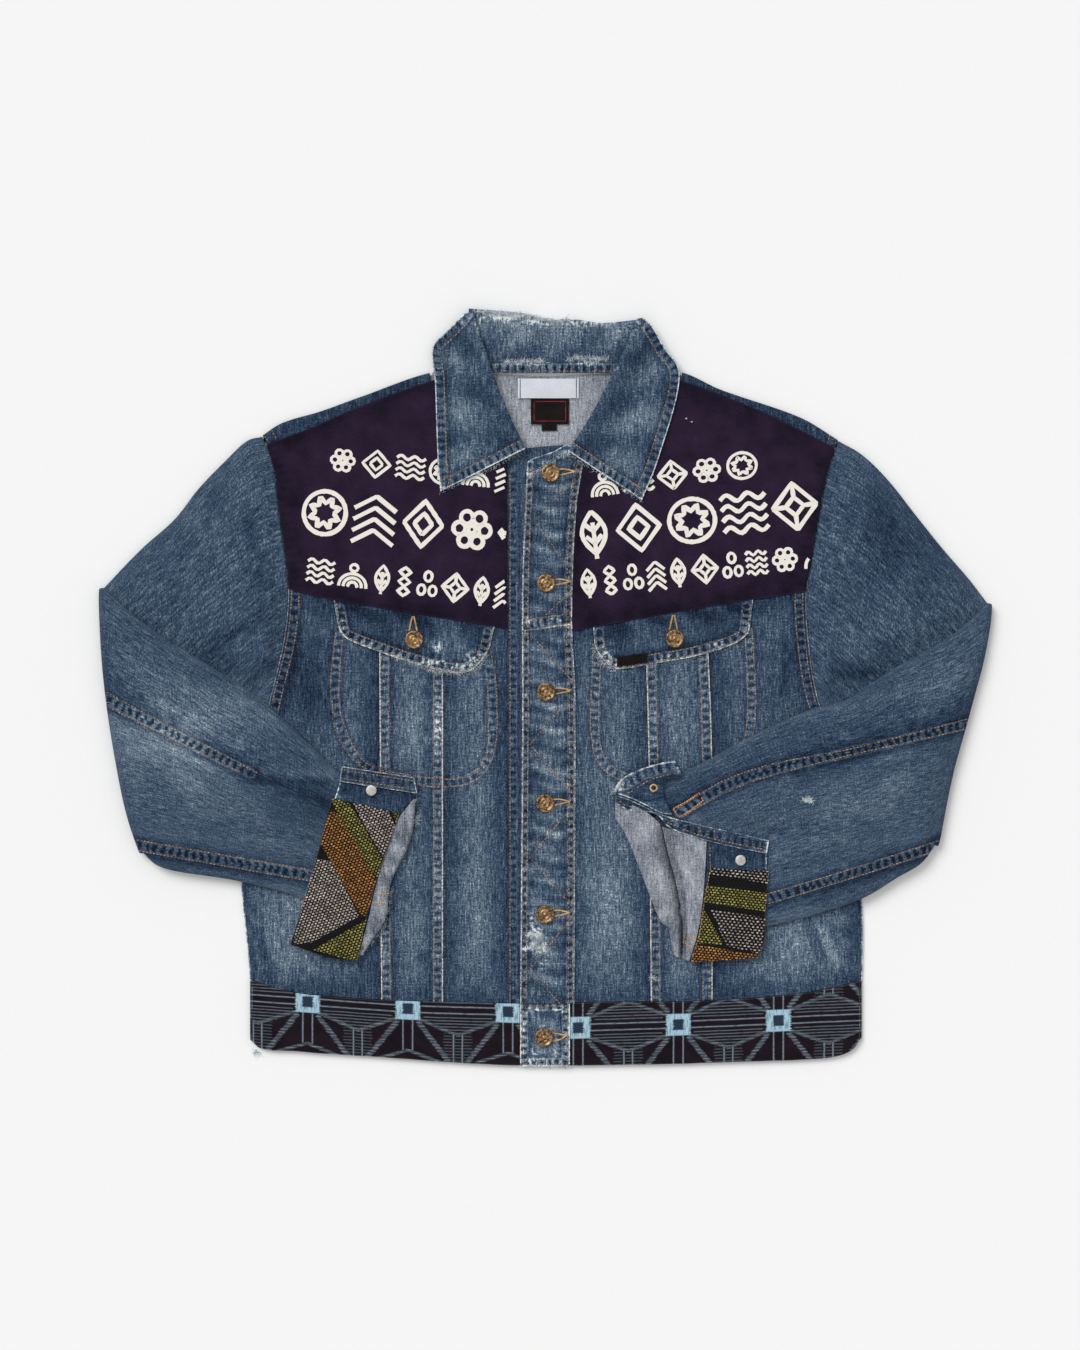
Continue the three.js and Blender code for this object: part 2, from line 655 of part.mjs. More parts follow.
// Behind the neck the collar stands up from the yoke, rolls over at the top and hangs behind it
function collarBack() {
  const rollTop = through([[-67, 347], [-22, 343], [14, 336], [29, 337], [53, 334], [85, 337]]);
  const radius = 3;
  const low = DOUBLE / 2;
  const high = low + 2 * radius;
  return (u, v) => {
    const x = lerp(-70, 88, u);
    const crest = rollTop(x) - radius - DOUBLE / 2;
    if (v < 0.4) {
      const share = v / 0.4;
      return new THREE.Vector3(x, lerp(NECK_SEAM, crest, share), lerp(DENIM + GAP + DOUBLE / 2, high, share));
    }
    if (v > 0.7) return new THREE.Vector3(x, lerp(crest, NECK_SEAM + 12, (v - 0.7) / 0.3), low);
    const angle = Math.PI * (v - 0.4) / 0.3;
    return new THREE.Vector3(x, crest + radius * Math.sin(angle), low + radius + radius * Math.cos(angle));
  };
}

// In front each half folds over at its roll line and lies on the yoke, down to its point
function collarLeaf(rollLine, outline) {
  const inner = edge(rollLine);
  const outer = edge(outline);
  const lying = ON_FRONT_TOP + GAP + DOUBLE / 2;
  const rise = 4.2;
  return (u, v) => {
    const from = inner(v);
    const to = outer(v);
    const across = to.clone().sub(from);
    const width = across.length();
    across.normalize();
    const radius = rise / 2;
    const foot = Math.min(10, width / 3);
    const crest = from.clone().addScaledVector(across, radius + DOUBLE / 2);
    if (u < 0.2) return crest.addScaledVector(across, foot * (1 - u / 0.2)).setZ(lying);
    if (u < 0.5) {
      const angle = Math.PI * (u - 0.2) / 0.3;
      return crest.addScaledVector(across, -radius * Math.sin(angle)).setZ(lying + radius * (1 - Math.cos(angle)));
    }
    const share = (u - 0.5) / 0.5;
    const settle = Math.max(lying, lying + rise * (1 - share * width / (foot + 16)));
    return crest.addScaledVector(across, share * (width - radius - DOUBLE / 2)).setZ(settle);
  };
}

function collar() {
  const left = collarLeaf(
    [[-66, 344], [-55, 310], [-48, 288], [-35, 255], [-18, 218]],
    [[-74, 341], [-92, 324], [-103, 312], [-101, 280], [-98, 200], [-96, 179]],
  );
  const right = collarLeaf(
    [[84, 336], [73, 310], [64, 291], [41, 247], [21, 216]],
    [[89, 338], [96, 333], [110, 310], [123, 290], [104, 209], [89, 171]],
  );
  add('collar', 'denim', united([
    bentWall(collarBack(), 6, 10, DOUBLE),
    bentWall(left, 9, 6, DOUBLE),
    bentWall(right, 9, 6, DOUBLE),
  ]));
}

// ---- Labels on the wrong side of the back yoke --------------------------------------------------

function labels() {
  const sizes = [
    ['neck_label', 'label_white', -25, 31, 265, 283],
    ['lower_label', 'label_black', -13, 22, 241, 264.7],
    ['size_tag', 'label_black', -3, 11, 235, 240.7],
  ];
  for (const [name, slot, left, right, bottom, top] of sizes) {
    const place = between({ left: at(left), right: at(right), bottom: at(bottom), top: at(top), inset: 0 },
      at(DENIM + GAP + PATCH_CLOTH / 2));
    add(name, slot, bentWall(place, 1, 1, PATCH_CLOTH));
  }
}

// ---- Buttons ------------------------------------------------------------------------------------

function button(name, slot, x, y, base, radius, height) {
  const profile = [
    [0, 0], [radius * 0.9, 0], [radius, height * 0.4],
    [radius * 0.85, height], [radius * 0.72, height * 0.85], [0, height * 0.85],
  ].map(([r, z]) => new THREE.Vector2(r, z));
  const geometry = new THREE.LatheGeometry(profile, 12);
  geometry.deleteAttribute('normal');
  geometry.deleteAttribute('uv');
  geometry.rotateX(Math.PI / 2);
  geometry.translate(x, y, base);
  add(name, slot, turnedOut(mergeVertices(geometry, 1e-5)));
}

function buttons() {
  const base = ON_FRONT_TOP + GAP;
  const placed = [[5, 196], [1, 95], [1, -5], [0, -107], [0, -209]];
  placed.forEach(([x, y], i) => button(`button_${i + 1}`, 'brass', x, y, base, BUTTON_RADIUS, BUTTON_HEIGHT));
  button('button_6', 'brass', -1, -322, BAND_FRONT + DOUBLE / 2 + GAP, BUTTON_RADIUS, BUTTON_HEIGHT);
  button('flap_button_left', 'brass', -120, 43, base, BUTTON_RADIUS, BUTTON_HEIGHT);
  button('flap_button_right', 'brass', 119, 44, base, BUTTON_RADIUS, BUTTON_HEIGHT);
  button('tack_back_left', 'tack', -159, -95, CUFF - DENIM / 2 + DOUBLE + GAP, TACK_RADIUS, TACK_HEIGHT);
  button('tack_back_right', 'tack', 179, -159, CUFF_TOP + GAP, TACK_RADIUS, TACK_HEIGHT);
}

// ---- The jacket ---------------------------------------------------------------------------------

back();
front(LEFT, 'left', -1);
front(RIGHT, 'right', 1);
pocketBags();
yokePatches();
placket();
flaps();
waistband();
sleeves();
leftCuff();
rightCuff();
collar();
labels();
buttons();

// The origin is under the middle of the whole jacket
const extent = new THREE.Box3().setFromObject(jacket);
const centre = extent.getCenter(new THREE.Vector3());
jacket.position.set(-centre.x, -centre.y, -extent.min.z);

export default jacket;
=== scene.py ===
"""Patched denim jacket, laid flat on its back with the front up and both sleeve ends folded over the body."""

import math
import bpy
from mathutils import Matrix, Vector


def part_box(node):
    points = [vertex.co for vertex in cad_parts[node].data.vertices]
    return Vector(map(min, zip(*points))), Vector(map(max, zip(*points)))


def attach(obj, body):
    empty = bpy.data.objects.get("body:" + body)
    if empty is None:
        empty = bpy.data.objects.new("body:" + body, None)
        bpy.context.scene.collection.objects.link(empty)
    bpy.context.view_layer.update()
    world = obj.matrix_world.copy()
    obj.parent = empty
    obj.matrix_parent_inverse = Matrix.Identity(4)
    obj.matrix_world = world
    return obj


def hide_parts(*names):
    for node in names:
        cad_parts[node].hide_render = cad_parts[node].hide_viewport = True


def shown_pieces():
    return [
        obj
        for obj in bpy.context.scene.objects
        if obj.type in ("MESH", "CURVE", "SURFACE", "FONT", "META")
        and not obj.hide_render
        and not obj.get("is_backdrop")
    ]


bl_info = {
    "name": "Patched denim jacket",
    "version": (1, 0, 0),
    "blender": (4, 5, 0),
    "location": "3D View > Sidebar > Jacket",
    "description": "Builds the patched denim jacket on its CAD frame",
    "category": "Object",
}

import bmesh
import bpy
import numpy as np
from mathutils import Matrix, Vector
from mathutils.bvhtree import BVHTree

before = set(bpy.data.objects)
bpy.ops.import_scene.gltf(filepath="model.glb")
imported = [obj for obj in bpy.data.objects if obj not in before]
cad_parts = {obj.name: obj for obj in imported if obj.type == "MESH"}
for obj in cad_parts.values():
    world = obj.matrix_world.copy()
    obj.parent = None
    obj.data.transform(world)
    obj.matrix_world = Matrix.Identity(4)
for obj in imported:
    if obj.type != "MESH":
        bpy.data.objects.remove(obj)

# ---- Dimensions, in millimetres ---------------------------------------------------------------------

DENIM = 1.2
PATCH_CLOTH = 1.0
DOUBLE = 2.4
GAP = 0.3
SEAM = GAP / 2
ARMHOLE_GAP = 0.6

# Heights of middle surfaces above the ground
BACK = DENIM / 2
BAG = DENIM + GAP + DENIM / 2
FRONT = 4.2
FRONT_TOP = FRONT + DENIM / 2
ON_FRONT = FRONT_TOP + GAP + DENIM / 2
ON_FRONT_TOP = ON_FRONT + DENIM / 2
BAND_BACK = DOUBLE / 2
BAND_FRONT = DOUBLE + GAP + DOUBLE / 2
CUFF = 10.8
CUFF_TOP = CUFF + DENIM / 2
BINDING = CUFF - DENIM / 2 + DOUBLE / 2
SHOULDER_RADIUS = (FRONT - BACK) / 2

SLEEVE_HALF_ARMHOLE = 1.8
SLEEVE_HALF_ELBOW = 2.4
SLEEVE_HALF_WRIST = 1.8

ROW_GAP = 7.3  # between the two rows of a felled seam
ROW_INSET = 1.2  # from the seam's folded edge to its first row

ROPING = 7.2  # between the pale spots along a roped seam

# The first front button, in the measurements that follow
FIRST_BUTTON = (5, 196)


def box_centre(node):
    low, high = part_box(node)
    return (Vector(low) + Vector(high)) / 2


SHIFT = box_centre("button_1") * 1000 - Vector((*FIRST_BUTTON, 0))


def metres(points):
    """Measured millimetres to the frame's metres."""
    moved = np.array(points, float)
    moved[..., 0] += SHIFT.x
    moved[..., 1] += SHIFT.y
    return moved / 1000


# ---- Settings -----------------------------------------------------------------------------------------


def linear(code):
    """An sRGB hex colour in linear light."""
    parts = [int(code[i : i + 2], 16) / 255 for i in (1, 3, 5)]
    return (*[c / 12.92 if c <= 0.04045 else ((c + 0.055) / 1.055) ** 2.4 for c in parts], 1.0)


def number(name, description, default, **limits):
    return bpy.props.FloatProperty(name=name, description=description, default=default, **limits)


def colour(name, description, code):
    return bpy.props.FloatVectorProperty(
        name=name, description=description, default=linear(code), size=4, min=0.0, max=1.0, subtype="COLOR"
    )


class JacketCloth(bpy.types.PropertyGroup):
    """How the cloth lies"""

    fine: number("Fine grid", "Width of a face where the cloth puckers, in mm", 2.0, min=0.5)
    pucker: number("Puckers", "Height of the puckers along sewn lines, in mm", 0.3, min=0.0)
    puff: number("Air in the sleeves", "How far the air in a sleeve lifts its middle, in mm", 3.4, min=0.0)


class JacketStitching(bpy.types.PropertyGroup):
    """How the jacket is sewn"""

    pitch: number("Pitch", "From one stitch to the next, in mm", 3.3, min=1.0)
    length: number("Length", "Length of a stitch, in mm", 2.5, min=0.5)
    thickness: number("Thread", "Thickness of the thread, in mm", 0.95, min=0.1)


class JacketButtons(bpy.types.PropertyGroup):
    """The metal buttons"""

    radius: number("Radius", "Radius of a button, in mm", 8.5, min=1.0)
    height: number("Height", "Height of a button, in mm", 3.4, min=0.5)
    tack_radius: number("Tack radius", "Radius of a cuff button's back, in mm", 5.0, min=1.0)
    tack_height: number("Tack height", "Height of a cuff button's back, in mm", 1.8, min=0.5)


class JacketColours(bpy.types.PropertyGroup):
    """The colours of the cloths, the print, the thread and the metal"""

    denim_deep: colour("Denim, deep", "Denim in the shade of a seam", "#0f1623")
    denim_dark: colour("Denim, dark", "Denim that kept its dye", "#1b2a3f")
    denim_middle: colour("Denim, middle", "Denim over most of the jacket", "#3d4f65")
    denim_faded: colour("Denim, faded", "Denim where it is washed out", "#738391")
    denim_pale: colour("Denim, pale", "Denim along its rubbed edges", "#adb7bd")
    denim_bare: colour("Denim, bare", "The white weft where the dye is gone", "#dde2e3")
    indigo_dark: colour("Patches, dark", "The yoke patches' cotton", "#110a1a")
    indigo_light: colour("Patches, light", "The yoke patches' cotton where it is rubbed", "#362740")
    print_dark: colour("Print, dark", "The printed motifs where the ink is thin", "#d8d2c6")
    print_light: colour("Print, light", "The printed motifs where the ink is full", "#f6f1e8")
    thread_dark: colour("Thread, dark", "The stitches in shade", "#5a4939")
    thread_light: colour("Thread, light", "The stitches in light", "#c79e70")
    brass_dark: colour("Brass, dark", "Tarnish on the buttons", "#45382a")
    brass_light: colour("Brass, light", "Clean brass on the buttons", "#bd9a72")


class JacketStage(bpy.types.PropertyGroup):
    """The surface, the lights and the camera"""

    camera_height: number("Camera height", "Height of the camera", 2.6, min=0.5, subtype="DISTANCE")
    view_height: number("View", "How much of the surface the view spans", 1.242, min=0.1, subtype="DISTANCE")
    daylight: number("Even light", "Strength of the light from all around", 0.62, min=0.0)
    sun: number("Slanting light", "Strength of the light from one side", 1.7, min=0.0)
    sun_width: number("Sun's width", "How wide the slanting light's source is, as an angle", math.radians(34),
                      min=0.0, subtype="ANGLE")


SETTINGS = {
    "jacket_cloth": JacketCloth,
    "jacket_stitching": JacketStitching,
    "jacket_buttons": JacketButtons,
    "jacket_colours": JacketColours,
    "jacket_stage": JacketStage,
}


def settings(name):
    return getattr(bpy.context.scene, f"jacket_{name}")


# ---- Curves in plan ---------------------------------------------------------------------------------


def mix(a, b, share):
    return a + (b - a) * share


def smooth(low, high, value):
    share = np.clip((value - low) / (high - low), 0, 1)
    return share * share * (3 - 2 * share)


def hump(distance, width):
    return np.exp(-((distance / width) ** 2))


def spot(x, y, cx, cy, rx, ry):
    """1 in the middle of an oval, and less away from it."""
    return np.exp(-(((x - cx) / rx) ** 2) - ((y - cy) / ry) ** 2)


def from_sides(share, size):
    return np.minimum(share, 1 - share) * size


def at(value):
    return lambda _: value


def through(points):
    """A smooth function through a few (from, to) points in rising order, straight beyond its ends."""
    xs, ys = np.array(points, float).T
    last = len(xs) - 1
    before = np.maximum(np.arange(last + 1) - 1, 0)
    after = np.minimum(np.arange(last + 1) + 1, last)
    slopes = (ys[after] - ys[before]) / (xs[after] - xs[before])

    def value(x):
        x = np.asarray(x, float)
        i = np.clip(np.searchsorted(xs, x) - 1, 0, last - 1)
        step = xs[i + 1] - xs[i]
        t = np.clip((x - xs[i]) / step, 0, 1)
        beyond = x - (xs[i] + t * step)
        bend = (2 * t**3 - 3 * t**2 + 1) * ys[i] + (t**3 - 2 * t**2 + t) * slopes[i] * step
        rest = (3 * t**2 - 2 * t**3) * ys[i + 1] + (t**3 - t**2) * slopes[i + 1] * step
        return bend + rest + beyond * np.where(beyond < 0, slopes[0], slopes[last])

    return value


def run_of(line):
    """How far along a line each of its points is."""
    return np.concatenate([[0], np.cumsum(np.linalg.norm(np.diff(line, axis=0), axis=1))])


def spaced(line, run, places):
    """The points at some places along a line."""
    return np.stack([np.interp(places, run, line[:, k]) for k in (0, 1)], -1)


def edge(points):
    """A smooth edge through (x, y) points, as a function of the share of its length."""
    p = np.array(points, float)
    p = np.vstack([2 * p[0] - p[1], p, 2 * p[-1] - p[-2]])
    t = np.linspace(0, 1, 60)[:, None]
    samples = []
    for i in range(1, len(p) - 2):
        a, b, c = (math.sqrt(np.linalg.norm(p[i + k] - p[i + k - 1])) for k in (0, 1, 2))
        first = ((p[i] - p[i - 1]) / a - (p[i + 1] - p[i - 1]) / (a + b) + (p[i + 1] - p[i]) / b) * b
        last = ((p[i + 1] - p[i]) / b - (p[i + 2] - p[i]) / (b + c) + (p[i + 2] - p[i + 1]) / c) * b
        cubic = 2 * p[i] - 2 * p[i + 1] + first + last
        square = -3 * p[i] + 3 * p[i + 1] - 2 * first - last
        samples.append(cubic * t**3 + square * t**2 + first * t + p[i])
    path = np.vstack(samples)
    run = run_of(path)
    return lambda share: spaced(path, run, np.clip(share, 0, 1) * run[-1])


def curve(points, count):
    """So many points along a smooth edge."""
    return edge(points)(np.linspace(0, 1, count))


def arc(x, y, radius, end=1.0, count=28):
    """A ring, or as much of it as the share end."""
    turn = 2 * math.pi * np.linspace(0, end, count)
    return np.stack([x + radius * np.cos(turn), y + radius * np.sin(turn)], -1)


def closed(points):
    return np.vstack([points, points[:1]]).astype(float)


def spanned(low, high, start, end):
    """The surface spanned by four edges that share their corners: u runs along start and end."""

    def place(u, v):
        across, along = np.asarray(u)[..., None], np.asarray(v)[..., None]
        ruled_v = start(u) * (1 - along) + end(u) * along
        ruled_u = low(v) * (1 - across) + high(v) * across
        corners = (start(0.0) * (1 - across) + start(1.0) * across) * (1 - along)
        corners = corners + (end(0.0) * (1 - across) + end(1.0) * across) * along
        return ruled_v + ruled_u - corners

    return place


def between(left, right, bottom, top, inset=SEAM):
    """The plan between x = left(y), x = right(y), y = bottom(x) and y = top(x)."""

    def place(u, v):
        x = mix(left(0.0), right(0.0), u)
        y = mix(bottom(x), top(x), v)
        for _ in range(12):
            x = mix(left(y) + inset, right(y) - inset, u)
            y = mix(bottom(x) + inset, top(x) - inset, v)
        return np.stack([x, y], -1)

    return place


def nearest(x, y, line):
    """How far each point is from a line of points, and how far along that line its nearest point is."""
    line = np.asarray(line, float)
    best = np.full(np.shape(x), 1e9)
    run = np.zeros(np.shape(x))
    start = 0.0
    for (ax, ay), (bx, by) in zip(line[:-1], line[1:]):
        dx, dy = bx - ax, by - ay
        length = max(math.hypot(dx, dy), 1e-6)
        t = np.clip(((x - ax) * dx + (y - ay) * dy) / length**2, 0, 1)
        distance = np.hypot(x - ax - t * dx, y - ay - t * dy)
        run = np.where(distance < best, start + t * length, run)
        best = np.minimum(best, distance)
        start += length
    return best, run


def inside(x, y, outline):
    """How far each point is inside a closed outline; negative outside."""
    around = closed(outline)
    distance, _ = nearest(x, y, around)
    crossings = np.zeros(np.shape(x), int)
    for (ax, ay), (bx, by) in zip(around[:-1], around[1:]):
        if ay == by:
            continue
        spans = (ay > y) != (by > y)
        crossings += spans & (x < (bx - ax) * (y - ay) / (by - ay) + ax)
    return np.where(crossings % 2 == 1, distance, -distance)


def sampled(function, start, end, steps=40, swap=False):
    """The points of y = function(x), or of x = function(y) where swapped."""
    along = np.linspace(start, end, steps)
    across = np.broadcast_to(function(along), along.shape)
    return np.stack([across, along] if swap else [along, across], -1)


def beside(line, distance):
    """The same line, moved to its left by a distance."""
    line = np.asarray(line, float)
    heading = np.gradient(line, axis=0)
    heading /= np.maximum(np.linalg.norm(heading, axis=1), 1e-9)[:, None]
    return line + np.stack([-heading[:, 1], heading[:, 0]], -1) * distance


# ---- Lines of the body, seen from above ---------------------------------------------------------------

SHOULDER = through([
    (-262, 229), (-242, 242), (-206, 253), (-170, 266), (-103, 289), (-60, 290),
    (0, 288), (66, 290), (124, 289), (161, 273), (235, 247), (270, 226),
])
LEFT = {
    "outer": through([
        (-292, -271), (-256, -272), (-196, -278), (-178, -279), (-104, -271), (-45, -260),
        (-12, -253), (43, -240), (86, -236), (120, -239), (162, -245), (198, -249), (232, -260),
    ]),
    "yoke_seam": through([(-237, 90), (-227, 87), (-197, 80), (-36, 53), (0, 47)]),
    "hem_seam": through([(-272, -269), (-233, -280), (-190, -285), (-138, -288), (-43, -290.5), (0, -291)]),
    "shoulder_seam": through([
        (-254, 223), (-216, 237), (-170, 257), (-103, 281), (-88, 283), (-72, 262), (-56, 228), (-30, 207),
    ]),
    "first_ridge": through([(-292, -150.5), (70, -152.5)]),
    "second_ridge": at(-93.5),
    "centre": at(-35),
}
RIGHT = {
    "outer": through([
        (-292, 291), (-224, 292), (-178, 290), (-104, 281), (-45, 262),
        (-8, 250), (34, 243), (87, 240), (115, 245), (157, 252), (193, 259), (228, 270),
    ]),
    "yoke_seam": through([(0, 47), (25, 51), (161, 75), (240, 87)]),
    "hem_seam": through([
        (0, -291), (75, -289), (122, -289), (165, -287.5), (207, -284.5), (248, -279.5), (291, -270),
    ]),
    "shoulder_seam": through([
        (28, 207), (60, 228), (76, 262), (92, 285), (124, 281), (198, 253), (261, 222),
    ]),
    "first_ridge": through([(-292, 97), (-72, 95), (50, 92)]),
    "second_ridge": through([(-292, 154), (-63, 153.5), (60, 149)]),
    "centre": at(17),
}
HEM_BOTTOM = through([
    (-272, -322), (-262, -332), (-229, -335), (-190, -338), (-142, -341), (-86, -345), (-23, -348),
    (101, -347), (165, -345), (228, -343), (266, -340), (284, -332), (292, -318),
])
PLACKET_LEFT = through([(-291, -23), (-12, -21), (97, -21), (195, -17)])
PLACKET_RIGHT = through([(-291, 27), (-12, 28), (61, 25), (162, 29), (215, 37)])
PLACKET_SEAM = through([(-23, 50), (28, 57)])
NECKLINE = through([(-20, 203), (-14, 208), (-4, 212), (8, 216), (21, 222), (30, 214), (40, 198)])
NECK_SEAM = 288
BACK_SEAM = 66

FLAPS = {
    "left": {
        "left": through([(15, -186), (36, -184), (56, -190), (79, -194)]),
        "right": through([(12, -70), (28, -54), (52, -47)]),
        "bottom": through([
            (-188, 50), (-181, 43), (-153, 32), (-124, 22), (-98, 15), (-78, 12), (-64, 17), (-52, 30),
        ]),
        "top": lambda x: LEFT["yoke_seam"](x) - GAP,
    },
    "right": {
        "left": through([(14, 70), (23, 54), (37, 46), (56, 44)]),
        "right": through([(36, 180), (50, 187), (72, 190)]),
        "bottom": through([(45, 34), (54, 22), (67, 16), (94, 20), (139, 28), (176, 40), (188, 50)]),
        "top": lambda x: RIGHT["yoke_seam"](x) - GAP,
    },
}

# The pocket bags' two rows of stitching, as seen on the front
BAG_ROWS = {
    "left": (
        [(-192, 50), (-197, 0), (-195, -18), (-193, -39), (-184, -57), (-167, -74), (-114, -91), (-77, -91),
         (-65, -87), (-52, -75), (-47, -61), (-44, -41), (-44, -18), (-45, 5), (-50, 34)],
        [(-186, 43), (-189, 0), (-188, -22), (-182, -41), (-170, -65), (-153, -76), (-124, -81), (-96, -85),
         (-73, -84), (-60, -75), (-53, -62), (-52, -41), (-52, -18), (-53, 8)],
    ),
    "right": (
        [(44, 40), (44, 21), (42, -18), (43, -50), (48, -69), (57, -79), (71, -86), (120, -91), (160, -86),
         (182, -70), (192, -41), (193, -11), (192, 21), (190, 53)],
        [(51, 30), (51, 21), (49.5, -18), (50, -48), (55, -66), (66, -76), (79, -81), (120, -84), (155, -79),
         (174, -66), (183, -49), (186, -24), (186, 8), (184, 49)],
    ),
}

BUTTONS = [(5, 196), (1, 95), (1, -5), (0, -107), (0, -209)]
WAIST_BUTTON = (-1, -322)
FLAP_BUTTONS = {"left": (-120, 43), "right": (119, 44)}
TACK_BACKS = {"left": (-159, -95), "right": (179, -159)}


def armhole(side, out, shoulder, armpit):
    along = np.linspace(shoulder, armpit, 10)
    return [(float(side["outer"](y)) + out * ARMHOLE_GAP, float(y)) for y in along]


LEFT_ARMHOLE = armhole(LEFT, -1, 229, -45)
RIGHT_ARMHOLE = armhole(RIGHT, 1, 225, -45)

# Each sleeve is a flattened tube that is folded over at the elbow, so that its end lies on the body
SLEEVES = {
    "left": {
        "shoulder": [
            LEFT_ARMHOLE[0], (-272, 226), (-294, 206), (-318, 181), (-340, 153), (-369, 127), (-405, 90),
        ],
        "armhole": LEFT_ARMHOLE,
        "underarm": [LEFT_ARMHOLE[-1], (-312, -98), (-368, -152)],
        "elbow": [(-405, 90), (-404, 69), (-401, 24), (-396, -20), (-388, -70), (-379, -115), (-368, -152)],
        "elbow_out": (-0.988, -0.154),
        "upper": [
            (-405, 90), (-377, 65), (-337, 37), (-301, 15), (-270, -5), (-247, -24), (-216, -53), (-187, -80),
            (-126, -102),
        ],
        "lower": [(-368, -152), (-354, -164), (-280, -178), (-223, -194), (-200, -210), (-176, -236)],
        "wrist": [(-126, -102), (-130, -138), (-156, -206), (-176, -236)],
    },
    "right": {
        "shoulder": [RIGHT_ARMHOLE[0], (290, 213), (313, 191), (340, 157), (364, 127), (389, 98), (406, 76)],
        "armhole": RIGHT_ARMHOLE,
        "underarm": [RIGHT_ARMHOLE[-1], (310, -95), (357, -145)],
        "elbow": [
            (406, 76), (403, 54), (396, 20), (389, -5), (380, -38), (370, -74), (363, -108), (357, -145),
        ],
        "elbow_out": (0.976, -0.217),
        "upper": [
            (406, 76), (379, 51), (345, 30), (322, 17), (297, 1), (278, -12), (242, -22), (193, -44),
            (143, -71), (116, -84), (82, -100),
        ],
        "lower": [(357, -145), (345, -161), (322, -175), (290, -194), (205, -219), (150, -226)],
        "wrist": [(82, -100), (118, -135), (138, -180), (150, -226)],
    },
}
ARM_ROWS, FOLD_ROWS, FOREARM_ROWS = 5, 4, 8
SLEEVE_ROWS = ARM_ROWS + FOLD_ROWS + FOREARM_ROWS

# Where the two seams run along each forearm, as shares of its width, from the elbow to the wrist
SLEEVE_SEAMS = {
    "left": (
        [
            (0, 0.425), (0.1, 0.395), (0.2, 0.39), (0.3, 0.398), (0.4, 0.41), (0.5, 0.40),
            (0.7, 0.33), (1, 0.16),
        ],
        [
            (0, 0.96), (0.1, 0.925), (0.2, 0.915), (0.4, 0.907), (0.5, 0.895), (0.6, 0.873),
            (0.7, 0.833), (1, 0.78),
        ],
    ),
    "right": (
        [
            (0, 0.49), (0.1, 0.425), (0.2, 0.378), (0.3, 0.33), (0.4, 0.28), (0.5, 0.255),
            (0.7, 0.203), (1, 0.16),
        ],
        [
            (0, 0.965), (0.1, 0.94), (0.2, 0.915), (0.3, 0.888), (0.4, 0.868), (0.6, 0.86),
            (0.8, 0.85), (1, 0.8),
        ],
    ),
}

# What lies over the fronts and over the forearms, as outlines in plan
FOREARMS = {
    name: np.vstack([s["upper"], s["wrist"][1:], s["lower"][::-1][1:], s["elbow"][::-1][1:-1]])
    for name, s in SLEEVES.items()
}
CUFF_OUTLINES = {
    "left": [(-172, -251), (-233, -236), (-204, -139), (-188, -88), (-186, -72), (-118, -82), (-114, -105),
             (-121, -139), (-141, -185), (-148, -221), (-168, -246)],
    "right": [(124, -251), (195, -249), (203, -232), (206, -140), (182, -134), (124, -112), (124, -76),
              (100, -70), (63, -96), (64, -118), (98, -195)],
}


SIDES = {"left": LEFT, "right": RIGHT}

# The rows of squares in the waistband's pattern, which sit at a slant
SQUARE_ROW_LEFT = through([(-219.9, -289.3), (-126, -295.8), (-35, -298.6)])
SQUARE_ROW_RIGHT = through([(30.4, -313.3), (122.4, -310.5), (212.5, -306.8)])

# Each pocket bag's left, right, bottom and top
BAG_LINES = {
    "left": (
        through([(-58, -184), (-31, -194), (5, -195), (70, -194)]),
        through([(-64, -52), (-40, -44), (5, -44), (50, -49)]),
        through([(-190, -56), (-169, -74), (-117, -83), (-72, -84), (-50, -66)]),
        lambda x: LEFT["yoke_seam"](x) - 3,
    ),
    "right": (
        through([(-58, 46), (-17, 42), (50, 44)]),
        through([(-64, 180), (-40, 192), (5, 193), (70, 191)]),
        through([(46, -58), (59, -75), (75, -82), (150, -84), (176, -74), (192, -50)]),
        lambda x: RIGHT["yoke_seam"](x) - 3,
    ),
}

# The arms' felled seams, as their two rows are seen
FOREARM_SEAMS = {
    "left": [
        ([(-402, -5), (-258.5, -81.4)], [(-400, -19), (-279.7, -77.7)]),
        ([(-374.4, -140.3), (-214.4, -167.9)], [(-372.6, -150.4), (-216.2, -178)]),
    ],
    "right": [
        ([(390, -29), (322, -46.5), (269.6, -59.3), (206, -71.3), (163.8, -86), (142.6, -98), (120.5, -112)],
         [(384.6, -39.1), (277.8, -63), (227.2, -75.9), (185, -88.8), (146, -107.2), (127, -119)]),
        ([(363.4, -140.3), (279.7, -167), (204.2, -190)],
         [(361.6, -149.5), (269.6, -178.9), (204.2, -199.2)]),
    ],
}

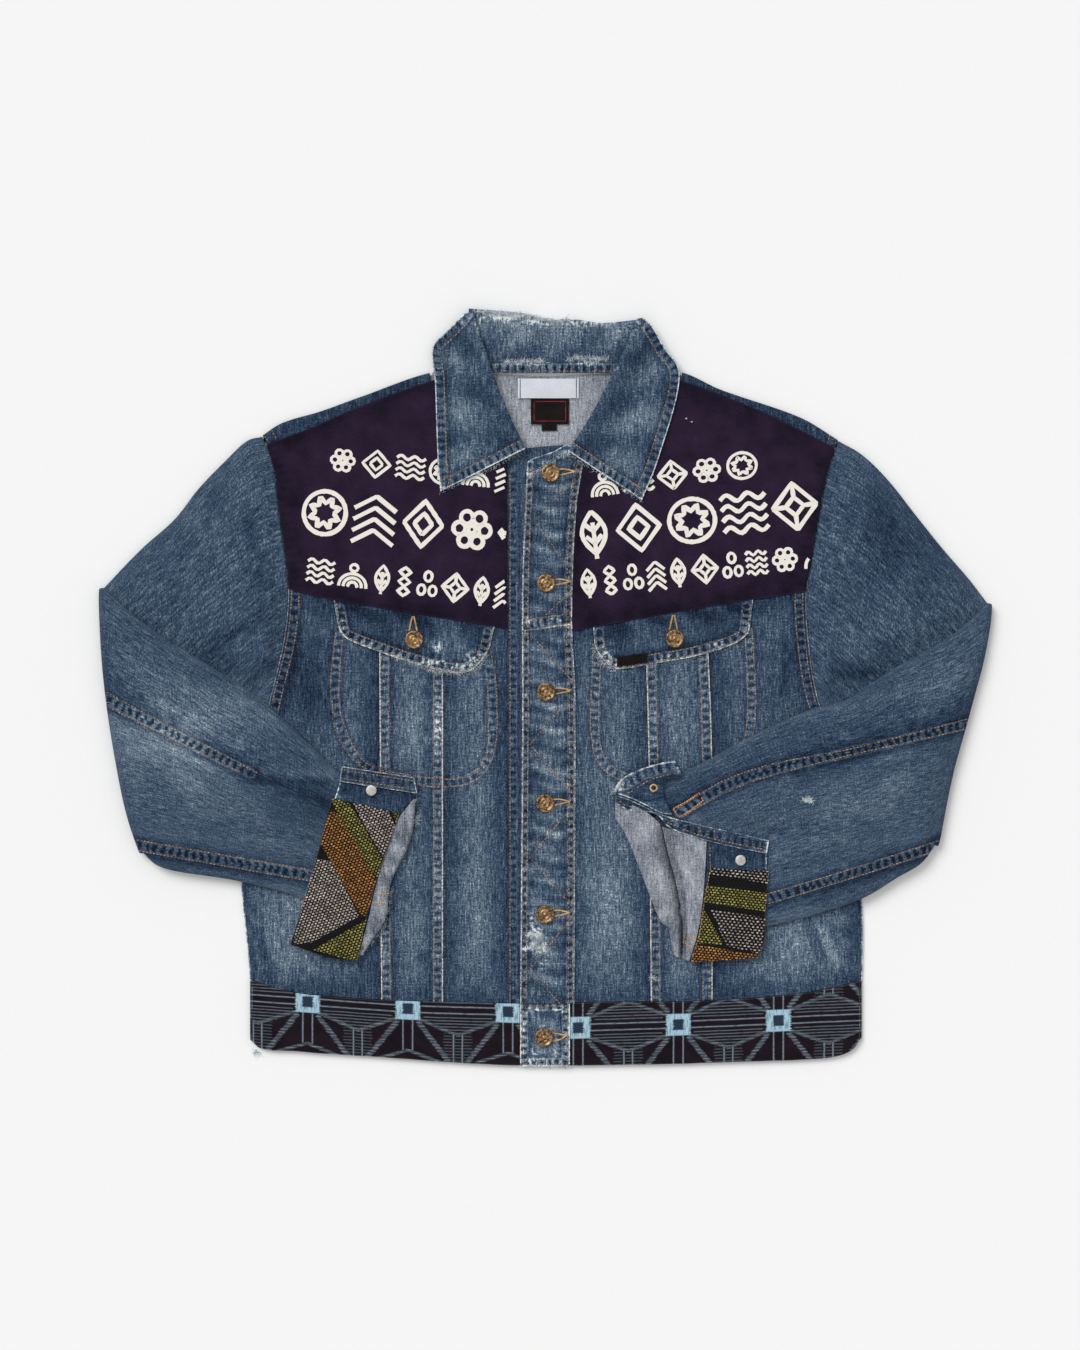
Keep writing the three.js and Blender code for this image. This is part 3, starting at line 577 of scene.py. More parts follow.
# The woven bands of the turned-back sleeve ends, each an outline in plan
LEFT_CUFF_BANDS = [
    ("weave_olive", [(-196, -101), (-179, -107), (-166, -128), (-149, -158), (-153, -175), (-167, -159),
                     (-179, -140), (-190, -118)]),
    ("weave_beige", [(-176, -106), (-144, -112), (-137, -128), (-147, -158), (-164, -130)]),
    ("weave_olive", [(-141, -112), (-133, -115), (-136, -126)]),
    ("weave_ochre", [(-196, -113), (-190, -117), (-176, -139), (-156, -174), (-154, -182), (-164, -210),
                     (-168, -210), (-184, -182), (-203, -148), (-208, -141), (-204, -131)]),
    ("weave_beige", [(-211, -157), (-196, -160), (-170, -210), (-213, -234), (-231, -236), (-222, -200)]),
    ("weave_olive", [(-163, -213), (-166, -228), (-170, -251), (-180, -250), (-212, -241)]),
]
RIGHT_CUFF_BANDS = [
    ("weave_fleck", [(148, -164.4), (208, -168), (208, -181), (148, -171)]),
    ("weave_olive", [(144, -181), (205, -189.5), (204, -206), (140, -197)]),
    ("weave_olive", [(142, -203), (146, -205), (164, -237), (136, -235)]),
    ("weave_fleck", [(151.7, -204.4), (202, -211.5), (197.5, -245), (166, -237.4)]),
    ("weave_ochre", [(138, -236), (197, -246), (192, -254), (130, -254)]),
]

# Each collar leaf's roll line, and its free outline
COLLAR_LEAVES = {
    "left": (
        [(-66, 344), (-55, 310), (-48, 288), (-35, 255), (-18, 218)],
        [(-74, 341), (-92, 324), (-103, 312), (-101, 280), (-98, 200), (-96, 179)],
    ),
    "right": (
        [(84, 336), (73, 310), (64, 291), (41, 247), (21, 216)],
        [(89, 338), (96, 333), (110, 310), (123, 290), (104, 209), (89, 171)],
    ),
}

# Seams where the cloth puckers: a line, half the seam's width, and how strong the puckers and the roping are
BODY_SEAMS = {
    name: [
        (beside(sampled(side["first_ridge"], -290, 70, swap=True), -ROW_INSET - ROW_GAP / 2), 4.2, 0.7),
        (beside(sampled(side["second_ridge"], -290, top, swap=True), ROW_INSET + ROW_GAP / 2), 4.2, 0.7),
    ]
    for name, side, top in (("left", LEFT, 70), ("right", RIGHT, 75))
}
BAG_SEAMS = {
    name: ((curve(outer, 40) + curve(inner, 40)) / 2, 4.0, 0.7) for name, (outer, inner) in BAG_ROWS.items()
}
ARMHOLE_SEAMS = {
    "left": (sampled(LEFT["outer"], 226, -45, swap=True) + [6.8, 0], 4.0, 0.8),
    "right": (sampled(RIGHT["outer"], 226, -45, swap=True) - [6.8, 0], 4.0, 0.8),
}

# Broad lighter and darker places, over the body and the sleeves: x, y, radii and change of tone. The pale
# ones are fading. The dark ones include painted shadow, such as the one at 286, 12 on the right upper arm
# beside the forearm's top edge.
FADES_AND_SHADOWS = [
    (-335, -40, 62, 34, 0.27), (-120, 68, 66, 9, -0.09), (118, 68, 66, 8, -0.07), (-285, -72, 30, 8, 0.08),
    (-230, -110, 50, 18, -0.10), (-320, 60, 60, 50, -0.05), (320, 120, 60, 70, -0.12),
    (330, -60, 60, 40, -0.02), (-120, -40, 26, 40, 0.06), (120, -30, 26, 40, 0.04), (-66, -50, 20, 56, 0.05),
    (-60, -200, 22, 70, 0.06), (60, -200, 24, 70, 0.09),
    (-122, -200, 18, 70, 0.05), (125, -230, 18, 50, 0.08),
    (-240, -232, 36, 52, 0.13), (240, -246, 44, 44, 0.12), (-217, 0, 20, 46, -0.22), (218, 10, 16, 40, -0.10),
    (286, 12, 26, 9, -0.16), (-290, 20, 20, 12, -0.12), (-20, 320, 90, 40, 0.04),
]

# Rubbed pale places: x, y, radii and strength
BODY_WORN = [
    (-98, -36, 4, 26, 0.75), (-8.3, -232, 7, 11, 0.9), (240, -104, 3, 4, 0.9), (-98, -180, 3, 30, 0.3),
    (97, -150, 3, 40, 0.35), (154, -200, 3, 30, 0.35), (-150, -240, 4, 20, 0.4), (60, -70, 18, 14, 0.12),
    (-120, -40, 40, 30, 0.12), (120, -20, 40, 40, 0.12), (-60, -200, 14, 60, 0.10), (125, -210, 16, 50, 0.10),
    (60, -200, 16, 60, 0.10), (-225, -210, 20, 40, 0.12), (225, -230, 20, 30, 0.12),
]
PLACKET_WORN = [
    (-12, -214, 4, 9, 0.8), (-10, -226, 8, 8, 1.0), (-6, -238, 8, 8, 1.0), (-17, -241, 4, 4, 0.8),
    (-18, 60, 6, 4, 0.8), (10, 62, 7, 4, 0.7), (24, 56, 4, 4, 0.6),
    (-16, 196, 6, 3, 0.7), (0, 206, 8, 3, 0.7),
    (18, 214, 6, 3, 0.6), (-2, -256, 4, 5, 0.7), (-16, -180, 5, 30, 0.22), (18, -60, 5, 40, 0.18),
    (-14, 30, 6, 40, 0.2),
]
FLAP_WORN = {
    "left": [(-99, 36.5, 4, 5, 0.8), (-102, 22.5, 16, 4, 0.9), (-80, 18, 12, 4, 0.8), (-65.5, 25, 9, 8, 1.0),
             (-135, 28, 14, 3, 0.7), (-170, 38, 14, 4, 0.5), (-186, 52, 4, 10, 0.5)],
    "right": [(56, 28, 7, 8, 1.0), (66, 20, 8, 5, 0.8), (120, 26, 20, 4, 0.5), (160, 38, 14, 4, 0.5),
              (186, 52, 4, 8, 0.5)],
}
TAB_WORN = [
    (-8, -345, 14, 5, 0.7), (14, -347, 10, 4, 0.5), (-21, -320, 3, 22, 0.6), (10, -336, 6, 8, 0.5),
    (21, -322, 3, 20, 0.5), (-8, -297, 10, 3, 0.8), (14, -297, 8, 3, 0.7), (-10, -338, 5, 5, 0.6),
]
COLLAR_BACK_WORN = [
    (-40, 339, 22, 4, 0.9), (-4, 336, 20, 4.5, 0.9), (40, 333, 30, 3, 0.5), (-20, 297, 20, 2.6, 0.8),
    (40, 298, 22, 2.6, 0.8), (-60, 336, 10, 8, 0.4), (76, 332, 10, 8, 0.4),
]
LEAVES_WORN = [(-62, 338, 10, 10, 0.7), (80, 332, 10, 10, 0.7), (-96, 182, 6, 6, 0.7), (90, 174, 6, 6, 0.7)]


# ---- How the cloth lies -------------------------------------------------------------------------------

# Soft folds over the body: (points along the crest, half width, height); a groove's height is negative
BODY_FOLDS = [
    ([(224, 42), (220, -27)], 9, 1.6),
    ([(236, -205), (262, -252)], 12, 1.8),
    ([(-252, -215), (-236, -262)], 14, 1.2),
    ([(-62, -120), (-58, -270)], 16, 1.0),
    ([(62, -150), (70, -270)], 18, 0.9),
    ([(124, -245), (126, -285)], 14, 0.9),
    ([(-122, -115), (-124, -280)], 18, 0.8),
]

# Sharper creases at the sides of the body, and across the arms and the forearms
BODY_CREASES = [
    ([(244, -213), (254, -224), (260, -236), (268, -255)], 4.5, 0.7),
    ([(238, -209), (247, -227), (254, -250)], 4.5, -1.2),
    ([(214, 62), (222, 30), (219, -4)], 5, -0.6),
    ([(-226, 40), (-233, 8), (-240, -20)], 5, -0.5),
    ([(-262, -226), (-250, -262)], 5, -0.6),
]
ARM_CREASES = {
    "left": [
        ([(-262, 60), (-300, 40)], 7, -1.3), ([(-255, 20), (-290, -2)], 6, -1.2),
        ([(-272, 150), (-260, 96)], 9, -0.9), ([(-318, 152), (-300, 138)], 14, 0.8),
        ([(-330, 110), (-300, 60)], 14, 0.6), ([(-300, 175), (-330, 120)], 10, -0.9),
    ],
    "right": [
        ([(266.8, 23.5), (296.2, 1.4)], 6, -1.5), ([(256.7, -4.1), (273.2, -13.3)], 5, -1.2),
        ([(285, 150), (268, 90)], 12, 0.5), ([(335, 105), (305, 55)], 14, 0.9),
        ([(303, 175), (332, 120)], 10, -0.9),
    ],
}
FOREARM_CREASES = {
    "left": [
        ([(-385, 20), (-330, -30)], 16, 0.8), ([(-330, -90), (-260, -120)], 14, 0.8),
        ([(-300, -60), (-262, -84)], 7, -0.8), ([(-262, -85), (-186, -88)], 4, -1.4),
        ([(-262, -80), (-186, -81)], 6, 1.2),
    ],
    "right": [
        ([(385, 10), (330, -30)], 16, 0.8), ([(330, -90), (262, -118)], 14, 0.8),
        ([(300, -60), (235, -85)], 8, -0.8),
    ],
}
SIDE_FALL = 14
HIDDEN_RIM = (-7, -1)  # where the cloth under a sleeve end begins to lie flat


def folded(x, y, folds):
    """The lift of some folds at each point."""
    lift = np.zeros(np.shape(x))
    for crest, width, height in folds:
        distance, _ = nearest(x, y, crest)
        lift = lift + height * hump(distance, width)
    return lift


def drape(x, y):
    """How far the front, and all that lies on it, is lifted by the folds under it."""
    lift = 0.35 * (1 + np.sin(x / 31 + 0.6 * np.sin(y / 47))) * smooth(60, -80, y)
    return (lift + folded(x, y, BODY_FOLDS)) * smooth(-290, -245, y)


def front_height(x, y):
    """The front's edges fall to the back over a small width."""
    inwards = np.minimum(x - LEFT["outer"](y), RIGHT["outer"](y) - x)
    share = np.clip(inwards / SIDE_FALL, 0, 1)
    low = mix(FRONT, BAG, np.clip((-60 - y) / 40, 0, 1))
    return mix(low, FRONT, np.sin(share * math.pi / 2)) + drape(x, y) * smooth(0, 20, inwards)


def raised(level):
    """A layer that lies on the front, at a middle height of its own."""
    return lambda x, y: level + drape(x, y)


def laid(plan, height):
    """A plan at a height, which is a number or a function of the place."""

    def place(u, v):
        flat = plan(u, v)
        x, y = flat[..., 0], flat[..., 1]
        z = height(x, y) if callable(height) else height
        return np.stack([x, y, np.broadcast_to(z, x.shape)], -1)

    return place


def covered(x, y):
    """1 under the forearms and the turned-back sleeve ends, and 0 away from them."""
    outlines = [*FOREARMS.values(), *CUFF_OUTLINES.values()]
    return smooth(*HIDDEN_RIM, np.max([inside(x, y, outline) for outline in outlines], axis=0))


# ---- Materials ----------------------------------------------------------------------------------------


def connect(tree, node, inputs):
    """Sets a node's inputs, or links those whose value is another node's output."""
    for key, value in inputs.items() if isinstance(inputs, dict) else enumerate(inputs):
        if isinstance(value, bpy.types.NodeSocket):
            tree.links.new(value, node.inputs[key])
        else:
            node.inputs[key].default_value = linear(value) if isinstance(value, str) else value


def add(tree, kind, inputs=(), output=0, stops=(), **choices):
    """Adds a node with its choices, its inputs and its colour stops, and gives one of its outputs."""
    node = tree.nodes.new(f"ShaderNode{kind}")
    for key, value in choices.items():
        setattr(node, key, value)
    if stops:
        elements = node.color_ramp.elements
        while len(elements) < len(stops):
            elements.new(0.5)
        for element, (place, shade) in zip(elements, stops):
            element.position = place
            element.color = linear(shade) if isinstance(shade, str) else shade
    connect(tree, node, inputs)
    return node.outputs[output]


# Choices that many nodes share
TIMES = {"operation": "MULTIPLY"}
TIMES_AND_ADD = {"operation": "MULTIPLY_ADD"}
HIGHER = {"operation": "MAXIMUM"}
LOWER = {"operation": "MINIMUM"}
ABOVE = {"operation": "GREATER_THAN"}
BELOW = {"operation": "LESS_THAN"}
BACK_AND_FORTH = {"operation": "PINGPONG"}
SOFTLY = {"interpolation_type": "SMOOTHSTEP"}


def summed(tree, start, *parts):
    """A start value, plus each value times its weight."""
    for value, weight in parts:
        start = add(tree, "Math", (value, weight, start), **TIMES_AND_ADD)
    return start


def cloth_point(tree, across=1.0, along=1.0):
    """The place on the cloth, in units of so many millimetres across and along the warp."""
    scale = (1000 / across, 1000 / along, 1000)
    return add(tree, "VectorMath", (add(tree, "UVMap", uv_map="cloth"), scale), **TIMES)


def uneven(tree, *sizes, detail=2):
    """Soft spots of a size in millimetres: across and along the warp, or the same in every direction."""
    if len(sizes) == 2:
        point = cloth_point(tree, *sizes)
    else:
        scale = (1000 / sizes[0],) * 3
        point = add(tree, "VectorMath", (add(tree, "TexCoord", output="Object"), scale), **TIMES)
    return add(tree, "TexNoise", {"Vector": point, "Scale": 1.0, "Detail": detail})


def begun(name):
    """A new material and its nodes."""
    made = bpy.data.materials.new(name)
    made.use_nodes = True
    return made, made.node_tree


def finish(made, shade, relief=None, depth=0.0, strength=1.0, roughness=0.9, metallic=0.0):
    """Gives a material its colour, its sheen and its relief, which is as deep as so many millimetres."""
    tree = made.node_tree
    inputs = {"Base Color": shade, "Roughness": roughness, "Metallic": metallic}
    inputs["Specular IOR Level"] = 0.5 if metallic else 0.12
    if relief is not None:
        bump = {"Height": relief, "Distance": depth / 1000, "Strength": strength}
        inputs["Normal"] = add(tree, "Bump", bump)
    connect(tree, tree.nodes["Principled BSDF"], inputs)
    return made


def denim_tones():
    """Indigo denim, from a seam's shade to the bare weft."""
    look = settings("colours")
    places = {"deep": 0, "dark": 0.22, "middle": 0.5, "faded": 0.75, "pale": 0.92, "bare": 1}
    return [(place, getattr(look, f"denim_{name}")) for name, place in places.items()]


INSIDE_TONES = [(0.0, "#363d48"), (0.3, "#666d78"), (0.6, "#9499a3"), (0.85, "#b9bcc3"), (1.0, "#dadbdd")]


def washed_denim(name, middle, tones, contrast=1.0):
    """Cotton twill, dyed in the yarn and washed many times.

    Uneven yarn gives short slubs along the warp and long streaks, and washing gives blotches, pale
    folded edges and roping on the seams. The twill's own ribs, 0.5 mm apart, are too fine to show and
    are drawn coarser.
    """
    made, tree = begun(name)
    slub = uneven(tree, 1.5, 11)
    streak = uneven(tree, 4.5, 120, detail=1)
    weft = uneven(tree, 9, 1.5)
    blotch = uneven(tree, 26, 34, detail=3)
    speck = uneven(tree, 1.25, 1.5, detail=1)
    grain = uneven(tree, 2.4, 2.9)
    rubbed = add(tree, "MapRange", (uneven(tree, 3.4, 3.4, detail=3), 0.36, 0.60), **SOFTLY)
    seam, run, rope, rim, fade, worn = (
        add(tree, "Attribute", output="Fac", attribute_name=name)
        for name in ("seam", "run", "rope", "edge", "fade", "worn")
    )

    # Roping: pale and dark spots along a seam, the whole seam paler and its sides in shade
    phase = summed(tree, add(tree, "Math", (run, 2 * math.pi / ROPING), **TIMES), (blotch, 11))
    mottled = summed(tree, add(tree, "Math", (phase,), operation="SINE"), (grain, 3.4), (blotch, 4.0))
    spotted = add(tree, "MapRange", (mottled, 3.1, 4.8), **SOFTLY)
    band = add(tree, "MapRange", (seam, 1.15, 0.85), **SOFTLY)
    core = add(tree, "MapRange", (seam, 1.0, 0.5), **SOFTLY)
    beyond = add(tree, "MapRange", (seam, 1.0, 1.25), **SOFTLY)
    near = add(tree, "MapRange", (seam, 2.6, 1.3), **SOFTLY)
    hollow = add(tree, "Math", (core, spotted), **TIMES)
    shade = add(tree, "Math", (beyond, near), **TIMES)
    roping = summed(tree, add(tree, "Math", (band, 0.16), **TIMES), (hollow, -0.46), (shade, -0.12))

    yarn = [(slub, 0.80), (streak, 0.20), (weft, 0.36), (blotch, 0.24), (speck, 0.78), (grain, 0.20)]
    yarn = [(value, weight * contrast) for value, weight in yarn]
    # Fading and painted shade come in through one attribute: painted shadows, and shade along edges and in
    # crease valleys.
    tone = summed(
        tree, middle - sum(weight for _, weight in yarn) / 2, *yarn, (fade, 1.0), (rope, roping),
        (add(tree, "MapRange", (rim, 1.5, 0.5), **SOFTLY), summed(tree, 0.338, (rubbed, 0.182))),
        (worn, summed(tree, 0.06, (rubbed, 0.66))),
    )
    twill = summed(tree, 0.0, (speck, 0.8), (slub, 0.6), (add(tree, "Math", (hollow, rope), **TIMES), -1.3))
    return finish(made, add(tree, "ValToRGB", (tone,), stops=tones), twill, 0.45, 0.8, roughness=0.95)


def plain_cotton(name, dark, light, thread=0.8, patch=18):
    """Plain-woven cotton or ribbon, which looks matt and even, with soft uneven dye and paler edges."""
    made, tree = begun(name)
    speck = uneven(tree, thread, thread * 2.5, detail=1)
    dye = uneven(tree, patch, patch, detail=3)
    rim, fade, worn = (
        add(tree, "Attribute", output="Fac", attribute_name=name) for name in ("edge", "fade", "worn")
    )
    rubbed = add(tree, "MapRange", (rim, 1.3, 0.2), **SOFTLY)
    # Fading and painted shade come in through one attribute.
    share = summed(tree, fade, (speck, 0.45), (dye, 0.6), (worn, 0.8), (rubbed, 0.25))
    return finish(made, add(tree, "ValToRGB", (share,), stops=[(0.3, dark), (1.0, light)]), speck, 0.25, 0.6)


# The ikat pattern, in millimetres: it is mirrored about the middle of each square and halfway to the next
IKAT_REPEAT = 92.0
IKAT_LEAVES = [(10, 9, 46, 23, 1.4), (9, 11, 38, 48, 2.1), (0, 38, 30, 48, 1.4)]  # from, to and half width


def ikat_cotton():
    """Cotton whose weft was tied and dyed before weaving, so the pale pattern's edges are feathered."""
    made, tree = begun("ikat hemp leaf cotton")
    place = add(tree, "SeparateXYZ", (cloth_point(tree),)).node
    across, along = place.outputs[0], place.outputs[1]
    feather = summed(tree, -3.75, (uneven(tree, 14, 0.8), 7.5))
    x, ragged, steady = (
        add(tree, "Math", (summed(tree, across, (feather, share)), IKAT_REPEAT / 2), **BACK_AND_FORTH)
        for share in (1.0, 0.8, 0.16)
    )
    y = add(tree, "Math", (along,), operation="ABSOLUTE")

    def both(*values):
        result = values[0]
        for value in values[1:]:
            result = add(tree, "Math", (result, value), **TIMES)
        return result

    def line(value, middle, half, soft=0.5):
        away = add(tree, "Math", (summed(tree, -middle, (value, 1.0)),), operation="ABSOLUTE")
        return add(tree, "MapRange", (away, half + soft, half - soft), **SOFTLY)

    def within(value, low, high):
        return both(add(tree, "Math", (value, low), **ABOVE), add(tree, "Math", (value, high), **BELOW))

    def stroke(x0, y0, x1, y1, half, soft=0.6):
        length = math.dist((x0, y0), (x1, y1))
        dx, dy = (x1 - x0) / length, (y1 - y0) / length
        off = summed(tree, dx * y0 - dy * x0, (x, dy), (y, -dx))
        run = summed(tree, -(dx * x0 + dy * y0), (x, dx), (y, dy))
        return both(line(off, 0, half, soft), within(run, 0, length))

    def square(outer_x, inner_x, outer_y, inner_y):
        return both(
            add(tree, "MapRange", (ragged, outer_x, inner_x), **SOFTLY),
            add(tree, "MapRange", (y, outer_y, inner_y), **SOFTLY),
        )

    picks = add(tree, "Math", (along, 1.4), **BACK_AND_FORTH)
    hatch = add(tree, "MapRange", (picks, 0.75, 1.05), **SOFTLY)
    broken = add(tree, "MapRange", (uneven(tree, 11, 0.9), 0.38, 0.56), **SOFTLY)
    woven = both(
        add(tree, "MapRange", (broken, 0, 1, 0.3, 0.95), **SOFTLY),
        add(tree, "MapRange", (hatch, 0, 1, 0.4, 1), **SOFTLY),
    )
    slope = summed(tree, 5.1, (x, 14 / 36))
    fan = both(
        add(tree, "Math", (y, slope), **BELOW),
        add(tree, "Math", (y, 5.0), **ABOVE),
        add(tree, "Math", (x, 14), **ABOVE),
    )
    low_fan = both(
        add(tree, "Math", (y, add(tree, "Math", (slope, 2.5))), **ABOVE), add(tree, "Math", (x, 33), **ABOVE)
    )
    lines = both(line(y, 3, 0.55), add(tree, "Math", (x, 11), **ABOVE))
    for more in (
        both(line(steady, 4.4, 0.6), within(y, 9, 38)),
        both(line(steady, IKAT_REPEAT / 2 - 4, 0.6), add(tree, "Math", (y, 22), **ABOVE)),
        *[both(stroke(*leaf), woven) for leaf in IKAT_LEAVES],
        both(hatch, fan, 0.5),
        both(hatch, low_fan, 0.3),
    ):
        lines = add(tree, "Math", (lines, more), **HIGHER)

    speck = uneven(tree, 0.9, 0.6, detail=1)
    rubbed = uneven(tree, 26, 14, detail=3)
    ground = add(tree, "ValToRGB", (summed(tree, 0.0, (speck, 0.5), (rubbed, 0.5)),),
                 stops=[(0.3, "#0c070b"), (0.9, "#2b202b")])
    inked = add(tree, "MapRange", (uneven(tree, 5, 0.8), 0.18, 0.55), **SOFTLY)
    yarns = add(tree, "MapRange", (uneven(tree, 1.3, 9, detail=1), 0.32, 0.55, 0.45, 0.95), **SOFTLY)
    block, eye = square(11.8, 10.2, 10.6, 9.2), square(5.6, 4.2, 5.6, 4.2)
    rim, worn = (add(tree, "Attribute", output="Fac", attribute_name=name) for name in ("edge", "worn"))
    edges = add(tree, "MapRange", (rim, 1.0, 0.2), **SOFTLY)
    worn = add(tree, "Math", (summed(tree, worn, (edges, 0.12)), 1.0), **LOWER)
    shade = ground
    for share, yarn in (
        (both(lines, inked, 0.8), "#8495a1"),
        (both(block, summed(tree, 1.0, (eye, -1.0)), yarns), "#a9cbdc"),
        (both(eye, block, 0.5), "#31465e"),
        (both(worn, rubbed), "#b9bcc2"),
    ):
        shade = add(tree, "Mix", {0: share, 6: shade, 7: yarn}, output=2, data_type="RGBA")
    return finish(made, shade, speck, 0.3, 0.6)


def handwoven_band(name, ground, light, dash=2.3, gap=0.22):
    """Hand-woven cloth: short thick weft dashes, laid like bricks over a dark warp, with rubbed edges."""
    made, tree = begun(name)
    wobble = summed(tree, -0.25, (uneven(tree, 3.2, 3.2, detail=1), 0.5))
    point = add(tree, "VectorMath", (cloth_point(tree, dash * 1.5, dash), wobble), operation="ADD")
    dashes = add(
        tree, "TexBrick",
        {"Vector": point, "Color1": (1, 1, 1, 1), "Color2": (0.35, 0.35, 0.35, 1), "Mortar": (0, 0, 0, 1),
         "Scale": 1.0, "Mortar Size": gap, "Mortar Smooth": 0.1, "Brick Width": 1.0, "Row Height": 1.0},
    )
    speck = uneven(tree, 1.1, 1.1, detail=1)
    dirt = uneven(tree, 14, 14)
    share = add(tree, "RGBToBW", (dashes,))
    for patchy in ((speck, 0.25, 0.6, 0.3, 1.0), (dirt, 0.1, 0.7, 0.7, 1.0)):
        share = add(tree, "Math", (share, add(tree, "MapRange", patchy, **SOFTLY)), **TIMES)
    rim, worn = (add(tree, "Attribute", output="Fac", attribute_name=name) for name in ("edge", "worn"))
    edges = add(tree, "MapRange", (rim, 1.2, 0.2), **SOFTLY)
    worn = add(tree, "Math", (summed(tree, worn, (edges, 0.15)), 1.0), **LOWER)
    shade = add(tree, "Mix", {0: share, 6: ground, 7: light}, output=2, data_type="RGBA")
    faded = {0: add(tree, "Math", (worn, 0.6), **TIMES), 6: shade, 7: "#a89f92"}
    shade = add(tree, "Mix", faded, output=2, data_type="RGBA")
    return finish(made, shade, summed(tree, share, (speck, 0.3)), 0.4, 0.8, roughness=0.95)


def stamped_metal(name, dark, light, roughness):
    """Stamped and plated metal, dull from handling, with uneven tarnish."""
    made, tree = begun(name)
    tarnish = uneven(tree, 2.2, detail=3)
    shade = add(tree, "ValToRGB", (tarnish,), stops=[(0.35, dark), (0.65, light)])
    return finish(made, shade, tarnish, 0.1, 0.4, roughness=roughness, metallic=1.0)


def spun_thread(name, dark, light):
    """Spun cotton thread with a faint sheen, its shade changing from stitch to stitch."""
    made, tree = begun(name)
    shade = add(tree, "ValToRGB", (uneven(tree, 4.5),), stops=[(0.35, dark), (0.65, light)])
    return finish(made, shade, roughness=0.8)


def pair(name):
    """The dark and the light colour of a finish, from the settings."""
    look = settings("colours")
    return getattr(look, f"{name}_dark"), getattr(look, f"{name}_light")


MAKERS = {
    "denim": lambda: washed_denim("washed denim", 0.43, denim_tones()),
    "denim_inside": lambda: washed_denim("denim wrong side", 0.52, INSIDE_TONES, contrast=1.1),
    "indigo_cotton": lambda: plain_cotton("indigo cotton", *pair("indigo")),
    "ikat_cotton": ikat_cotton,
    "weave_black": lambda: handwoven_band("woven band black", "#121113", "#2b292b", gap=0.27),
    "weave_olive": lambda: handwoven_band("woven band olive", "#1b1a14", "#bdb662"),
    "weave_ochre": lambda: handwoven_band("woven band ochre", "#221712", "#dc9c56"),
    "weave_beige": lambda: handwoven_band("woven band beige", "#1f1c1c", "#e4d6cb"),
    "weave_fleck": lambda: handwoven_band("woven band flecked", "#181617", "#dccfc6", dash=2.6, gap=0.27),
    "brass": lambda: stamped_metal("antique brass", *pair("brass"), 0.44),
    "nickel": lambda: stamped_metal("nickel", "#b9b5b0", "#dedad5", 0.5),
    "label_white": lambda: plain_cotton("white woven label", "#c9ccd6", "#f4f5fa"),
    "label_black": lambda: plain_cotton("black woven label", "#0f0d0c", "#2a2622"),
    "thread_tan": lambda: spun_thread("tan thread", *pair("thread")),
    "thread_navy": lambda: spun_thread("navy thread", "#1b2740", "#4c617c"),
    "thread_orange": lambda: spun_thread("orange thread", "#b87c45", "#f0b878"),
    "thread_buttonhole": lambda: spun_thread("buttonhole twist", "#a57f52", "#d9b380"),
    "thread_red": lambda: spun_thread("dark red thread", "#5c1d26", "#8a2c36"),
    # Painted shade for the eyelet's hole.
    "hole_shade": lambda: plain_cotton("hole shade", "#0b0d12", "#141820"),
    "print_ink": lambda: plain_cotton("off-white print", *pair("print")),
    "fibre": lambda: spun_thread("frayed cotton fibre", "#9fb0bb", "#e6ebec"),
}
_made = {}


def material(name):
    if name not in _made:
        _made[name] = MAKERS[name]()
    return _made[name]


# ---- Making pieces ------------------------------------------------------------------------------------

# Crests are paler from wear, and valleys are darker as painted shade.
CREST_WEAR_AND_SHADE = 0.20  # how much paler cloth is on a crest than in a valley, per millimetre
MOST_CREST = 0.6
EDGE_SHADE = 0.16  # how much darker cloth is along its edge
EDGE_SHADE_REACH = 26
FAR_SEAM, FAR_EDGE = 9.0, 60.0
SHARP_EDGE = math.radians(50)


def finished(name, mesh, nodes=()):
    piece = bpy.data.objects.new(name, mesh)
    bpy.context.scene.collection.objects.link(piece)
    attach(piece, "root")
    if nodes:
        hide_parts(*nodes)
    return piece


def normals_of(p):
    normal = np.cross(np.gradient(p, axis=1), np.gradient(p, axis=0))
    return normal / np.maximum(np.linalg.norm(normal, axis=-1), 1e-12)[..., None]


def wear(x, y, u, v, middle, seams, worn_sides, worn, rim, fades):
    """What the materials read at each point: the seam's place, the edge, how faded it is together with
    painted shade, and how worn it is.
    """
    seam = np.full(x.shape, FAR_SEAM)
    run, rope, faded, pale = (np.zeros(x.shape) for _ in range(4))
    for line, half, strength in seams:
        distance, along = nearest(x, y, line)
        closer = distance / half < seam
        seam = np.where(closer, distance / half, seam)
        run = np.where(closer, along, run)
        rope = np.where(closer, strength, rope)
    border = np.full(x.shape, FAR_EDGE)
    worn_edge = border.copy()
    for key, line in {"l": middle[:, 0], "r": middle[:, -1], "b": middle[0], "t": middle[-1]}.items():
        thin = line[:: max(1, len(line) // 50), :2]
        distance, _ = nearest(x, y, np.vstack([thin, line[-1:, :2]]))
        border = np.minimum(border, distance)
        if key in worn_sides:
            worn_edge = np.minimum(worn_edge, distance)
    if rim is not None:
        border = worn_edge = rim(u, v)
    # Broad fades, with painted shadows among them.
    for *oval, amount in FADES_AND_SHADOWS if fades else ():
        faded = faded + amount * spot(x, y, *oval)
    for *oval, amount in worn:
        pale = np.maximum(pale, amount * spot(x, y, *oval))
    shade = EDGE_SHADE * (smooth(0, EDGE_SHADE_REACH, border) - 0.5)
    return {"seam": seam, "run": run, "rope": rope, "edge": worn_edge, "fade": faded + shade, "worn": pale}


